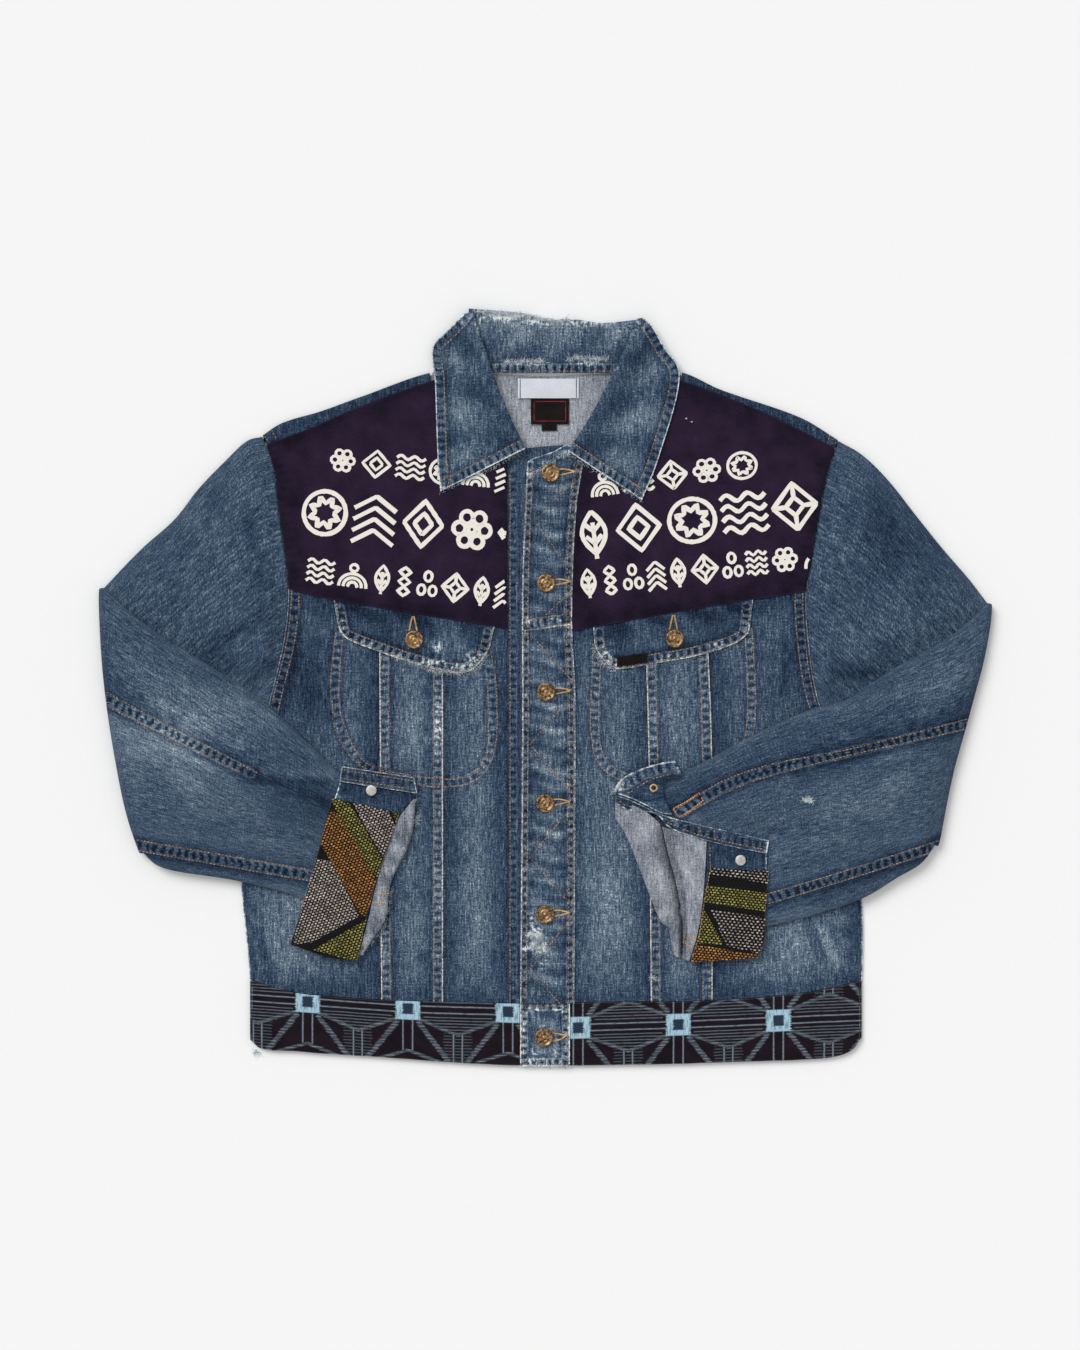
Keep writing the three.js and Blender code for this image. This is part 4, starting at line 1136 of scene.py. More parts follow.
def cloth_mesh(
    name, place, wall, columns, rows, look, relief=None, weave=None, seams=(), worn_sides="",
    tone=0.0, worn=(), spacing=None, bands=(), rim=None, fades=True,
):
    """A closed sheet bent over its middle surface place(u, v), with its own cloth coordinates in metres.

    In plan, seams are (centre line, half width, strength) and worn are (x, y, x radius, y radius, strength).
    """
    bm = bmesh.new()
    bmesh.ops.create_grid(bm, x_segments=columns, y_segments=rows, size=1.0)
    mesh = bpy.data.meshes.new(name)
    bm.to_mesh(mesh)
    bm.free()
    count = len(mesh.vertices)
    flat = np.empty(count * 3)
    mesh.vertices.foreach_get("co", flat)
    column = np.rint((flat[0::3] + 1) / 2 * columns).astype(int)
    row = np.rint((flat[1::3] + 1) / 2 * rows).astype(int)
    u, v = np.meshgrid(np.linspace(0, 1, columns + 1), np.linspace(0, 1, rows + 1))
    if spacing:
        u, v = spacing(u, v)
    middle = place(u, v)
    x, y = middle[..., 0], middle[..., 1]
    crest = 0.0
    if relief is not None:
        lift = relief(x, y, u, v)
        middle = middle + normals_of(middle) * lift[..., None]
        middle[..., 2] = np.maximum(middle[..., 2], wall / 2)
        crest = np.clip(lift - np.median(lift), -MOST_CREST, MOST_CREST)
    normal = normals_of(middle)
    mesh.vertices.foreach_set("co", metres(middle + normal * wall / 2)[row, column].ravel())

    values = wear(x, y, u, v, middle, seams, worn_sides, worn, rim, fades)
    # Wear on crests and painted shade in valleys join the fades, the painted shadows and the painted edge
    # shade.
    values["fade"] = values["fade"] + tone + CREST_WEAR_AND_SHADE * crest
    for key, value in values.items():
        layer = mesh.attributes.new(key, "FLOAT", "POINT")
        layer.data.foreach_set("value", value[row, column].astype(np.float32))
    across, along = weave(x, y, u, v) if weave else (x, y)
    where = np.stack([across, along], -1)[row, column] / 1000
    corner = np.empty(len(mesh.loops), np.int32)
    mesh.loops.foreach_get("vertex_index", corner)
    mesh.uv_layers.new(name="cloth").data.foreach_set("uv", where[corner].astype(np.float32).ravel())

    bm = bmesh.new()
    bm.from_mesh(mesh)
    number = bm.verts.layers.int.new("number")
    for i, vertex in enumerate(bm.verts):
        vertex[number] = i
    # the inner wall is placed here by hand, because solidify gives spikes where the cloth turns sharply
    bmesh.ops.solidify(bm, geom=bm.faces[:], thickness=wall / 1e6)
    inner = metres(middle - normal * wall / 2)[row, column]
    for i, vertex in enumerate(bm.verts):
        if i >= count:
            vertex.co = inner[vertex[number]]
    bm.verts.layers.int.remove(number)
    bmesh.ops.recalc_face_normals(bm, faces=bm.faces[:])
    cut_bands(bm, bands)
    for face in bm.faces:
        face.smooth = True
    for each in bm.edges:
        each.smooth = len(each.link_faces) != 2 or each.calc_face_angle() < SHARP_EDGE
    bm.to_mesh(mesh)
    bm.free()
    for each in [look, *[band for band, _ in bands]]:
        mesh.materials.append(material(each))
    return mesh


def cut_bands(bm, bands):
    """Cuts a sheet along each band's outline, and gives the faces inside it the band's material."""
    if not bands:
        return
    outlines = [metres([(x, y, 0) for x, y in outline]) for _, outline in bands]
    for points in outlines:
        for a, b in zip(points, np.roll(points, -1, axis=0)):
            d = b - a
            everything = bm.verts[:] + bm.edges[:] + bm.faces[:]
            bmesh.ops.bisect_plane(bm, geom=everything, dist=1e-7, plane_co=a, plane_no=(d[1], -d[0], 0))
    centres = np.array([face.calc_center_median() for face in bm.faces])
    for number, points in enumerate(outlines, start=1):
        chosen = inside(centres[:, 0], centres[:, 1], points[:, :2]) > 0
        for face, yes in zip(bm.faces, chosen):
            if yes:
                face.material_index = number


def joined(name, meshes):
    """Several meshes as one, with their layers and materials kept."""
    if len(meshes) == 1:
        return meshes[0]
    objects = [bpy.data.objects.new("part", mesh) for mesh in meshes]
    for part in objects:
        bpy.context.scene.collection.objects.link(part)
    with bpy.context.temp_override(active_object=objects[0], selected_editable_objects=objects):
        bpy.ops.object.join()
    mesh = objects[0].data
    bpy.data.objects.remove(objects[0])
    mesh.name = name
    return mesh


def cloth(name, meshes):
    piece = finished(f"{name}_cloth", joined(f"{name}_cloth", meshes), (name,))


def sheet(name, place, wall, columns, rows, look, rests_on, held="laid", slot_name=None, **cut):
    """One piece of cloth, cut in one."""
    mesh = cloth_mesh(name, place, wall, columns, rows, look, **cut)
    cloth(name, [mesh])


def merged(name, vertices, faces, look):
    """One mesh from arrays of vertices and faces, for small things that are repeated many times."""
    mesh = bpy.data.meshes.new(name)
    mesh.from_pydata(vertices, [], faces)
    mesh.materials.append(material(look))
    for polygon in mesh.polygons:
        polygon.use_smooth = True
    return mesh


class Surface:
    """The finished pieces, asked from straight above."""

    def __init__(self, names=None):
        self.trees = {}
        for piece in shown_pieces():
            if names and piece.name not in names:
                continue
            points = np.empty(len(piece.data.vertices) * 3)
            piece.data.vertices.foreach_get("co", points)
            polygons = [tuple(p.vertices) for p in piece.data.polygons]
            self.trees[piece.name] = BVHTree.FromPolygons(points.reshape(-1, 3).tolist(), polygons)

    def hit(self, x, y):
        """The highest piece at a point in metres, its height and its normal."""
        best = (None, -1.0, Vector((0, 0, 1)))
        for name, tree in self.trees.items():
            place, normal, _, _ = tree.ray_cast(Vector((x, y, 0.2)), Vector((0, 0, -1)))
            if place is not None and place.z > best[1]:
                best = (name, place.z, normal)
        return best


def steps(length, size):
    return max(2, int(round(length / size)))


def ripple(seams, x, y):
    """Small puckers along sewn lines."""
    height = settings("cloth").pucker
    total = np.zeros(np.shape(x))
    for line, _, strength in seams:
        distance, run = nearest(x, y, line)
        wave = strength * np.sin(run / ROPING * 2 * math.pi + 1.7 * np.sin(run / 23))
        total = total + height * wave * hump(distance, 8)
    return total


# ---- Body ---------------------------------------------------------------------------------------------


def shoulder_strip(side, sign, inner, crown):
    """The back's cloth where it rolls over a shoulder, from the neck to the armhole's slanting edge."""
    radius = SHOULDER_RADIUS
    middle = (FRONT + BACK) / 2

    def place(u, v):
        armhole_end = side["outer"](np.interp(v, [0.5, 1], [crown, crown - 9])) - sign * ARMHOLE_GAP
        x = mix(armhole_end, inner, u) if sign < 0 else mix(inner, armhole_end, u)
        crest = SHOULDER(x) - radius - DENIM / 2
        seam = side["shoulder_seam"](x) + SEAM
        angle = math.pi * np.clip((v - 0.25) / 0.5, 0, 1)
        y = crest + radius * np.sin(angle)
        y = np.where(v < 0.25, mix(crest - 5, crest, v / 0.25), y)
        y = np.where(v > 0.75, mix(crest, np.minimum(seam, crest - 1), (v - 0.75) / 0.25), y)
        return np.stack([x, y, middle - radius * np.cos(angle)], -1)

    return place


def hem_seam(x):
    return np.where(x < 0, LEFT["hem_seam"](x), RIGHT["hem_seam"](x))


def build_back():
    fine = settings("cloth").fine
    plate = between(
        LEFT["outer"], RIGHT["outer"], at(BACK_SEAM), lambda x: SHOULDER(x) - SHOULDER_RADIUS - DENIM / 2
    )
    meshes = [
        cloth_mesh("back_yoke", laid(plate, BACK), DENIM, steps(500, 2 * fine), steps(210, 2 * fine),
                   "denim_inside", tone=0.05)
    ]
    for name, side, *strip in (("strip_left", LEFT, -1, -106, 231), ("strip_right", RIGHT, 1, 126, 227)):
        place = shoulder_strip(side, *strip)
        meshes.append(cloth_mesh(name, place, DENIM, steps(150, fine), 24, "denim", tone=-0.04))
    cloth("back_yoke", meshes)
    panel = between(
        lambda y: LEFT["outer"](y) + 0.5,
        lambda y: RIGHT["outer"](y) - 0.5,
        lambda x: hem_seam(x) + GAP,
        at(BACK_SEAM),
    )
    sheet("back_panel", laid(panel, BACK), DENIM, steps(560, 2.5 * fine), steps(355, 2.5 * fine), "denim",
          ["pocket_bag_left", "pocket_bag_right"], worn_sides="lr")


def build_pocket_bags():
    for name, lines in BAG_LINES.items():
        sheet(f"pocket_bag_{name}", laid(between(*lines), BAG), DENIM, 36, 34, "denim", ["back_panel"])


def build_fronts():
    fine = settings("cloth").fine
    for name, side in SIDES.items():
        order = ["outer", "first_ridge", "second_ridge", "centre"]
        parts = ["side", "mid", "centre"]
        if name == "right":
            order = ["centre", "first_ridge", "second_ridge", "outer"]
            parts = parts[::-1]
        worn_at = {"mid": "lr", "centre": "", "side": "l" if name == "left" else "r"}
        for i, part in enumerate(parts):
            plan = between(side[order[i]], side[order[i + 1]], side["hem_seam"], side["yoke_seam"])
            corners = plan(np.array([0.0, 1.0, 0.5, 0.5]), np.array([0.5, 0.5, 0.0, 1.0]))
            width = abs(corners[1, 0] - corners[0, 0])
            length = abs(corners[3, 1] - corners[2, 1])
            seams = [*BODY_SEAMS[name], BAG_SEAMS[name]] + ([ARMHOLE_SEAMS[name]] if part == "side" else [])

            def relief(x, y, u, v, part=part, seams=seams):
                lap = 0.7 * (1 - smooth(8.5, 11, from_sides(u, 58))) if part == "mid" else 0.0
                lift = ripple(seams, x, y) + lap + folded(x, y, BODY_CREASES)
                return lift * (1 - covered(x, y)) * smooth(60, 30, y)

            sheet(f"front_{name}_{part}", laid(plan, front_height), DENIM, steps(width, fine),
                  steps(length, fine), "denim", [f"pocket_bag_{name}", "back_panel"], relief=relief,
                  seams=seams, worn_sides=worn_at[part], worn=BODY_WORN,
                  tone=0.02 if part != "side" else -0.01)
        yoke = between(side[order[0]], side[order[3]], side["yoke_seam"], side["shoulder_seam"])
        sheet(f"yoke_{name}", laid(yoke, raised(FRONT)), DENIM, 60, 50, "denim", ["back_yoke"],
              seams=[ARMHOLE_SEAMS[name]], worn_sides="t")


def build_yoke_patches():
    fine = settings("cloth").fine
    plans = {
        "left": (lambda y: LEFT["outer"](y) + 1, at(-35)),
        "right": (PLACKET_RIGHT, lambda y: RIGHT["outer"](y) - 1),
    }
    for name, (left, right) in plans.items():
        plan = between(left, right, SIDES[name]["yoke_seam"], SIDES[name]["shoulder_seam"])
        seams = [ARMHOLE_SEAMS[name]]

        def relief(x, y, u, v, seams=seams):
            rim = np.minimum(from_sides(u, 200), from_sides(v, 200))
            waves = 0.25 * np.sin(x / 9 + 2 * np.sin(y / 31)) * np.sin(y / 13 + 1.5 * np.sin(x / 40))
            return 0.25 + (ripple(seams, x, y) * 0.7 + waves) * smooth(0, 5, rim)

        sheet(f"yoke_patch_{name}", laid(plan, raised(ON_FRONT - 0.1)), PATCH_CLOTH, steps(210, fine),
              steps(180, fine), "indigo_cotton", [f"yoke_{name}"], relief=relief, seams=seams,
              worn_sides="tb", worn=[(-102, 289, 4, 3, 0.8)])


def build_placket():
    fine = settings("cloth").fine * 0.75
    rows = [
        (sampled(PLACKET_LEFT, -290, 205, swap=True) + [3.6, 0], 2.6, 0.8),
        (sampled(PLACKET_RIGHT, -290, 205, swap=True) - [4.5, 0], 3.0, 0.9),
    ]
    band = [(sampled(PLACKET_SEAM, -23, 28) + [0, 6], 4.5, 0.9)]

    def relief(x, y, u, v):
        rim = from_sides(u, 48)
        waves = 0.45 * np.sin(y / 4.3 + 1.6 * np.sin(x / 9) + 2 * np.sin(y / 23)) * smooth(0, 6, rim)
        waves = waves + 0.4 * np.sin(y / 1.9 + 1.3 * np.sin(x / 7) + 3 * np.sin(y / 31)) * smooth(0, 4, rim)
        return waves + ripple(rows, x, y) * 0.8 + 0.2 * (1 - smooth(7, 9, rim))

    upper = between(PLACKET_LEFT, lambda y: PLACKET_RIGHT(y) - SEAM, PLACKET_SEAM, NECKLINE)
    lower = between(PLACKET_LEFT, PLACKET_RIGHT, at(-291), PLACKET_SEAM)
    for key, plan, length, seams, sides, tone in (
        ("placket_upper", upper, 150, rows + band, "lrtb", 0.07),
        ("placket_lower", lower, 345, rows, "lr", 0.08),
    ):
        sheet(key, laid(plan, raised(ON_FRONT)), DENIM, steps(50, fine), steps(length, fine), "denim",
              ["under_placket"], "folded", relief=relief, seams=seams, worn_sides=sides, worn=PLACKET_WORN,
              tone=tone)
    under = between(at(-35), at(17), at(-291), through([(-35, 214), (-17, 219), (17, 222)]))
    seam = (np.array([(-29.0, -290.0), (-29.0, 200.0)]), 3.5, 0.6)
    sheet("under_placket", laid(under, raised(FRONT)), DENIM, 30, 200, "denim", ["back_panel"], seams=[seam],
          tone=0.03)


def flap_row(name, distance):
    """A row of stitches inside a flap's three free sides."""
    lines = FLAPS[name]
    plan = between(lines["left"], lines["right"], lines["bottom"], lines["top"], inset=distance)
    t = np.linspace(0, 1, 40)
    left = plan(np.zeros(40), t[::-1])
    bottom = plan(t, np.zeros(40))
    right = plan(np.ones(40), t)
    return np.vstack([left, bottom[1:], right[1:]])


def build_flaps():
    fine = settings("cloth").fine * 0.75
    for name, lines in FLAPS.items():
        plan = between(lines["left"], lines["right"], lines["bottom"], lines["top"])
        seams = [(flap_row(name, 5.2), 3.8, 1.0)]

        def relief(x, y, u, v, seams=seams, button=FLAP_BUTTONS[name]):
            away = np.hypot(x - button[0], y - button[1])
            rim = np.minimum(from_sides(u, 140), v * 55)
            waves = 0.8 * np.sin((x + 0.4 * y) / 7 + 1.5 * np.sin(y / 11))
            waves = waves * smooth(0.55, 0.95, v) * smooth(1, 0.97, v)
            lap = 0.35 * (1 - smooth(8.5, 10.5, rim))
            swell = 0.5 * np.sin(x / 16 + 1) * smooth(10, 24, rim) * smooth(12, 26, away)
            return waves + ripple(seams, x, y) * 0.8 + lap + swell

        sheet(f"flap_{name}", laid(plan, raised(ON_FRONT + 0.15)), DENIM, steps(142, fine), steps(60, fine),
              "denim", [f"front_{name}_mid"], relief=relief, seams=seams, worn_sides="lrb",
              worn=FLAP_WORN[name], tone=-0.03)
    tag = between(at(66), at(94), through([(66, 18), (94, 22)]), through([(66, 27), (94, 31)]), inset=0)
    sheet("flap_tag", laid(tag, raised(ON_FRONT_TOP + 1.1 + PATCH_CLOTH / 2)), PATCH_CLOTH, 28, 9,
          "label_black", ["flap_right"], "folded")


# The waistband runs along the left front, round the side, along the back and back along the right front
BAND_SIDES = (-268.5, 288.5)
BAND_STATIONS = {"front_left": 124, "back": 90, "front_right": 132}
BAND_HEIGHT = 55


def band_stations():
    """The waistband's path, as places across and heights."""
    left, right = BAND_SIDES
    radius = (BAND_FRONT - BAND_BACK) / 2
    middle = (BAND_FRONT + BAND_BACK) / 2
    turn = np.linspace(0, math.pi, 9)[1:-1]
    first, back, last = BAND_STATIONS.values()
    xs = [
        np.linspace(-23 - GAP, left, first), left - radius * np.sin(turn), np.linspace(left, right, back),
        right + radius * np.sin(turn), np.linspace(right, 23 + GAP, last),
    ]
    zs = [
        np.full(first, BAND_FRONT), middle + radius * np.cos(turn), np.full(back, BAND_BACK),
        middle - radius * np.cos(turn), np.full(last, BAND_FRONT),
    ]
    return np.concatenate(xs), np.concatenate(zs)


def build_waistband():
    xs, zs = band_stations()
    last = len(xs) - 1
    stations = np.arange(last + 1)
    run = np.concatenate([[0], np.cumsum(np.hypot(np.diff(xs), np.diff(zs)))])

    def place(u, v):
        x = np.interp(u * last, stations, xs)
        z = np.interp(u * last, stations, zs)
        return np.stack([x, mix(HEM_BOTTOM(x), hem_seam(x) - SEAM - GAP, v), z], -1)

    def on_front(u, inset):
        left = u * last < BAND_STATIONS["front_left"] - inset
        return left, u * last > last - BAND_STATIONS["front_right"] + inset

    def weave(x, y, u, v):
        left, right = on_front(u, 0)
        along = np.where(left, x + 126, np.where(right, x - 122.4, np.interp(u * last, stations, run)))
        return along, np.where(x < 0, y - SQUARE_ROW_LEFT(x), y - SQUARE_ROW_RIGHT(x))

    def relief(x, y, u, v):
        left, right = on_front(u, 2)
        waves = 0.35 * np.sin(x / 13 + 2 * np.sin(x / 37)) + 0.3 * np.sin(x / 5.3 + y / 9)
        waves = waves * smooth(0, 5, from_sides(v, BAND_HEIGHT)) * smooth(22, 40, np.abs(x))
        return np.where(left | right, waves + 0.3, 0.0)

    def tab_relief(x, y, u, v):
        rim = np.minimum(from_sides(u, 46), from_sides(v, 58))
        return 0.25 * np.sin(y / 4.2 + np.sin(x / 7)) * smooth(0, 5, rim) + 0.2

    sheet("waistband", place, DOUBLE, last, 27, "ikat_cotton", ["back_panel"], "folded", relief=relief,
          weave=weave, rim=lambda u, v: from_sides(v, BAND_HEIGHT))
    tab = between(at(-23), at(23), at(-349), at(-291))
    row = closed([(-19, -294), (-19, -345), (19, -345), (19, -294)])
    sheet("waistband_tab", laid(tab, BAND_FRONT), DOUBLE, 34, 42, "denim", ["back_panel"], "folded",
          relief=tab_relief, seams=[(row, 3.4, 1.0)], worn_sides="lrb", worn=TAB_WORN, tone=0.13)


# ---- Sleeves ------------------------------------------------------------------------------------------


def sleeve_middle(sleeve, name):
    """The sheet halfway between a sleeve's layers, from the armhole round the elbow fold to the wrist."""
    elbow = edge(sleeve["elbow"])
    arm = spanned(edge(sleeve["shoulder"]), edge(sleeve["underarm"]), edge(sleeve["armhole"]), elbow)
    forearm = spanned(edge(sleeve["upper"]), edge(sleeve["lower"]), elbow, edge(sleeve["wrist"]))
    arm_elbow = BACK + SLEEVE_HALF_ELBOW
    forearm_elbow = DENIM + 2 * SLEEVE_HALF_ELBOW + GAP + DENIM / 2 + SLEEVE_HALF_ELBOW
    forearm_wrist = FRONT_TOP + GAP + DENIM / 2 + SLEEVE_HALF_WRIST
    radius = (forearm_elbow - arm_elbow) / 2
    out = np.array([*sleeve["elbow_out"], 0.0])
    up = np.array([0.0, 0.0, 1.0])
    air = settings("cloth").puff

    def middle(t, w):
        row = w * SLEEVE_ROWS
        bulge = np.sin(math.pi * np.clip(t, 0, 1))
        s = np.clip(row / ARM_ROWS, 0, 1)
        plan = arm(t, s)
        x, y = plan[..., 0], plan[..., 1]
        open_air = smooth(4, 26, -inside(x, y, FOREARMS[name])) * smooth(0, 0.12, s)
        half = mix(SLEEVE_HALF_ARMHOLE, SLEEVE_HALF_ELBOW, s) + air * open_air * (0.35 + 0.65 * bulge)
        lift = folded(x, y, ARM_CREASES[name]) * open_air
        point = np.concatenate([plan, (BACK + half)[..., None]], -1)
        inner = np.broadcast_to(up, point.shape)

        angle = math.pi * np.clip((row - ARM_ROWS) / FOLD_ROWS, 0, 1)
        turned = out * np.sin(angle)[..., None] - up * np.cos(angle)[..., None]
        bend_height = np.full((*np.shape(t), 1), arm_elbow + radius)
        bend = np.concatenate([elbow(t), bend_height], -1) + turned * radius

        f = np.clip((row - ARM_ROWS - FOLD_ROWS) / FOREARM_ROWS, 0, 1)
        over = forearm(t, f)
        fx, fy = over[..., 0], over[..., 1]
        free = smooth(2, 22, -inside(fx, fy, CUFF_OUTLINES[name])) * smooth(0, 0.1, f)
        fuller = air * 0.75 * free * (0.3 + 0.7 * bulge)
        f_half = mix(SLEEVE_HALF_ELBOW, SLEEVE_HALF_WRIST, f) + fuller
        f_lift = folded(fx, fy, FOREARM_CREASES[name]) * free
        on_body = smooth(0.05, 0.5, f)
        z = mix(forearm_elbow, forearm_wrist, np.clip(f / 0.7, 0, 1)) + fuller + drape(fx, fy) * on_body
        above = np.concatenate([over, z[..., None]], -1)

        on_arm, on_bend = row <= ARM_ROWS, row <= ARM_ROWS + FOLD_ROWS

        def chosen(arm_value, bend_value, forearm_value):
            wide = (...,) if np.ndim(forearm_value) == np.ndim(row) else (..., None)
            return np.where(on_arm[wide], arm_value, np.where(on_bend[wide], bend_value, forearm_value))

        inward = chosen(inner, -turned, -inner)
        thick = chosen(half, SLEEVE_HALF_ELBOW, f_half)
        return chosen(point, bend, above), inward, thick, chosen(lift, 0.0, f_lift)

    return middle


def sleeve_wall(sleeve, name, which):
    """The outer or the under cut of a sleeve, which wraps round its middle sheet from seam to seam."""
    middle = sleeve_middle(sleeve, name)
    elbow = edge(sleeve["elbow"])
    seam_share = SEAM / float(np.linalg.norm(elbow(1.0) - elbow(0.0)))

    def around(t):
        return np.arccos(1 - 2 * t)

    def place(u, w):
        f = np.clip((w * SLEEVE_ROWS - ARM_ROWS - FOLD_ROWS) / FOREARM_ROWS, 0, 1)
        low, high = (through(points)(f) for points in SLEEVE_SEAMS[name])
        if which == "under":
            angle = mix(2 * math.pi - around(high - seam_share), 2 * math.pi - around(low + seam_share), u)
        else:
            angle = mix(-around(low - seam_share), 2 * math.pi - around(high + seam_share), u)
        point, inward, half, crease = middle((1 - np.cos(angle)) / 2, w)
        swell = np.sign(np.sin(angle)) * np.abs(np.sin(angle)) ** 0.6
        # the creases show on the layer that is uppermost
        upper = np.clip(np.where(inward[..., 2] > 0, swell, -swell), 0, 1)
        point = point + inward * (half * swell)[..., None]
        point[..., 2] += crease * upper
        return point

    return place


def sleeve_spacing(u, v):
    """More rows round the elbow fold."""
    rows = np.array([0, ARM_ROWS, ARM_ROWS + FOLD_ROWS, SLEEVE_ROWS])
    return u, np.interp(v, [0, 0.42, 0.5, 1], rows / SLEEVE_ROWS)


def build_sleeves():
    for name, sleeve in SLEEVES.items():
        centres = [(curve(upper, 24) + curve(lower, 24)) / 2 for upper, lower in FOREARM_SEAMS[name]]
        seams = [(centre, 4.6, 1.0) for centre in centres]

        def relief(x, y, u, v, seams=seams):
            forearm = v > (ARM_ROWS + FOLD_ROWS) / SLEEVE_ROWS
            open_air = smooth(2, 12, -inside(x, y, CUFF_OUTLINES[name]))
            arm_open = smooth(2, 12, -inside(x, y, FOREARMS[name])) * (v < ARM_ROWS / SLEEVE_ROWS)
            creases = np.where(forearm, folded(x, y, FOREARM_CREASES[name]), folded(x, y, ARM_CREASES[name]))
            return (ripple(seams, x, y) * 0.9 + 0.5 * creases) * np.where(forearm, open_air, arm_open)

        for which, columns, width in (("outer", 110, 400), ("under", 52, 190)):
            sheet(
                f"sleeve_{name}_{which}", sleeve_wall(sleeve, name, which), DENIM, columns, 150, "denim",
                [f"front_{name}_side", "back_panel"], "folded", relief=relief, seams=seams, tone=-0.03,
                weave=lambda x, y, u, v, width=width: (u * width, v * SLEEVE_ROWS * 38),
                spacing=sleeve_spacing, rim=lambda u, v: from_sides(u, 200) + 2,
            )


# ---- Sleeve ends, turned back -------------------------------------------------------------------------

ON_CUFF = CUFF_TOP + GAP + PATCH_CLOTH / 2


def flat_piece(low, high, start, end, level):
    """A piece between four edges that share their corners, raised over what lies under it."""
    return laid(spanned(edge(low), edge(high), edge(start), edge(end)), raised(level))


def turned_weave(degrees):
    turn = math.radians(degrees)

    def weave(x, y, u, v):
        return x * math.cos(turn) + y * math.sin(turn), y * math.cos(turn) - x * math.sin(turn)

    return weave


def crossways(x, y, u, v):
    return y, x


def build_left_cuff():
    inner = [(-172, -250), (-163, -211), (-155.5, -181), (-137, -124), (-118, -99)]
    outer = [(-233, -235), (-204, -139), (-188, -88)]
    facing = flat_piece([inner[0], outer[0]], [inner[-1], outer[-1]], inner, outer, CUFF)
    sheet(
        "cuff_left_facing", facing, DENIM, 70, 34, "denim", ["sleeve_left_outer", "sleeve_left_under"],
        worn_sides="t", tone=-0.06, fades=False,
        worn=[(-190, -94, 3, 8, 0.8), (-198, -116, 3, 14, 0.9), (-208, -145, 3, 18, 0.6)],
        relief=lambda x, y, u, v: 0.5 * np.sin(y / 4 + x / 19) * smooth(0.75, 0.95, v),
    )

    def patch_relief(x, y, u, v):
        rim = np.minimum(from_sides(u, 145), from_sides(v, 60))
        return 0.45 * (1 + np.sin(x / 9 + y / 17)) * smooth(0, 6, rim) * 0.6

    patch = flat_piece(
        [(-172, -251), (-197, -248), (-233, -236)], [(-133, -116), (-195, -102)],
        [(-172, -251), (-163, -211), (-155, -180), (-133, -116)], [(-233, -236), (-210, -159), (-195, -102)],
        ON_CUFF,
    )
    sheet("cuff_left_patch", patch, PATCH_CLOTH, 60, 26, "weave_black", ["cuff_left_facing"],
          slot_name="woven_cuff_cloth", relief=patch_relief, weave=turned_weave(15), worn_sides="bt",
          bands=LEFT_CUFF_BANDS)

    hem = flat_piece([(-117, -98), (-188, -87)], [(-120, -83), (-186, -73)], [(-117, -98), (-120, -83)],
                     [(-188, -87), (-186, -73)], BINDING)
    sheet(
        "cuff_left_hem", hem, DOUBLE, 10, 50, "denim", ["cuff_left_facing"], "folded", worn_sides="lrbt",
        relief=lambda x, y, u, v: 0.3 * np.sin(v * 70 / 3.1) * smooth(0, 4, from_sides(u, 15)), fades=False,
        seams=[(np.array([(-119.0, -91.0), (-187.0, -80.0)]), 5, 0.5)], weave=crossways,
    )

    edge_line = edge([(-171, -246), (-162, -211), (-154.7, -180), (-136.5, -124), (-121, -103)])
    roll = edge([
        (-168, -242), (-157, -230), (-148, -221), (-141, -185), (-126, -159), (-121, -139), (-119, -113),
    ])
    radius = 2.6

    def strip(u, v):
        start = edge_line(v) + [GAP * 2, 0]
        span = np.maximum(roll(v)[..., 0] - radius - start[..., 0], 1)
        angle = math.pi * np.clip((u - 0.5) * 2, 0, 1)
        x = start[..., 0] + span * np.clip(u * 2, 0, 1) + radius * np.sin(angle)
        y = start[..., 1]
        return np.stack([x, y, CUFF + drape(x, y) - radius * (1 - np.cos(angle))], -1)

    def crumple(x, y, u, v):
        waves = 0.9 * np.sin(y / 5.2 + 1.6 * np.sin(y / 13) + x / 9)
        return waves * smooth(0.05, 0.3, u) * smooth(0.75, 0.5, u)

    sheet("cuff_left_inside", strip, DENIM, 24, 80, "denim_inside", ["sleeve_left_under"], "folded",
          relief=crumple, tone=-0.03, fades=False)


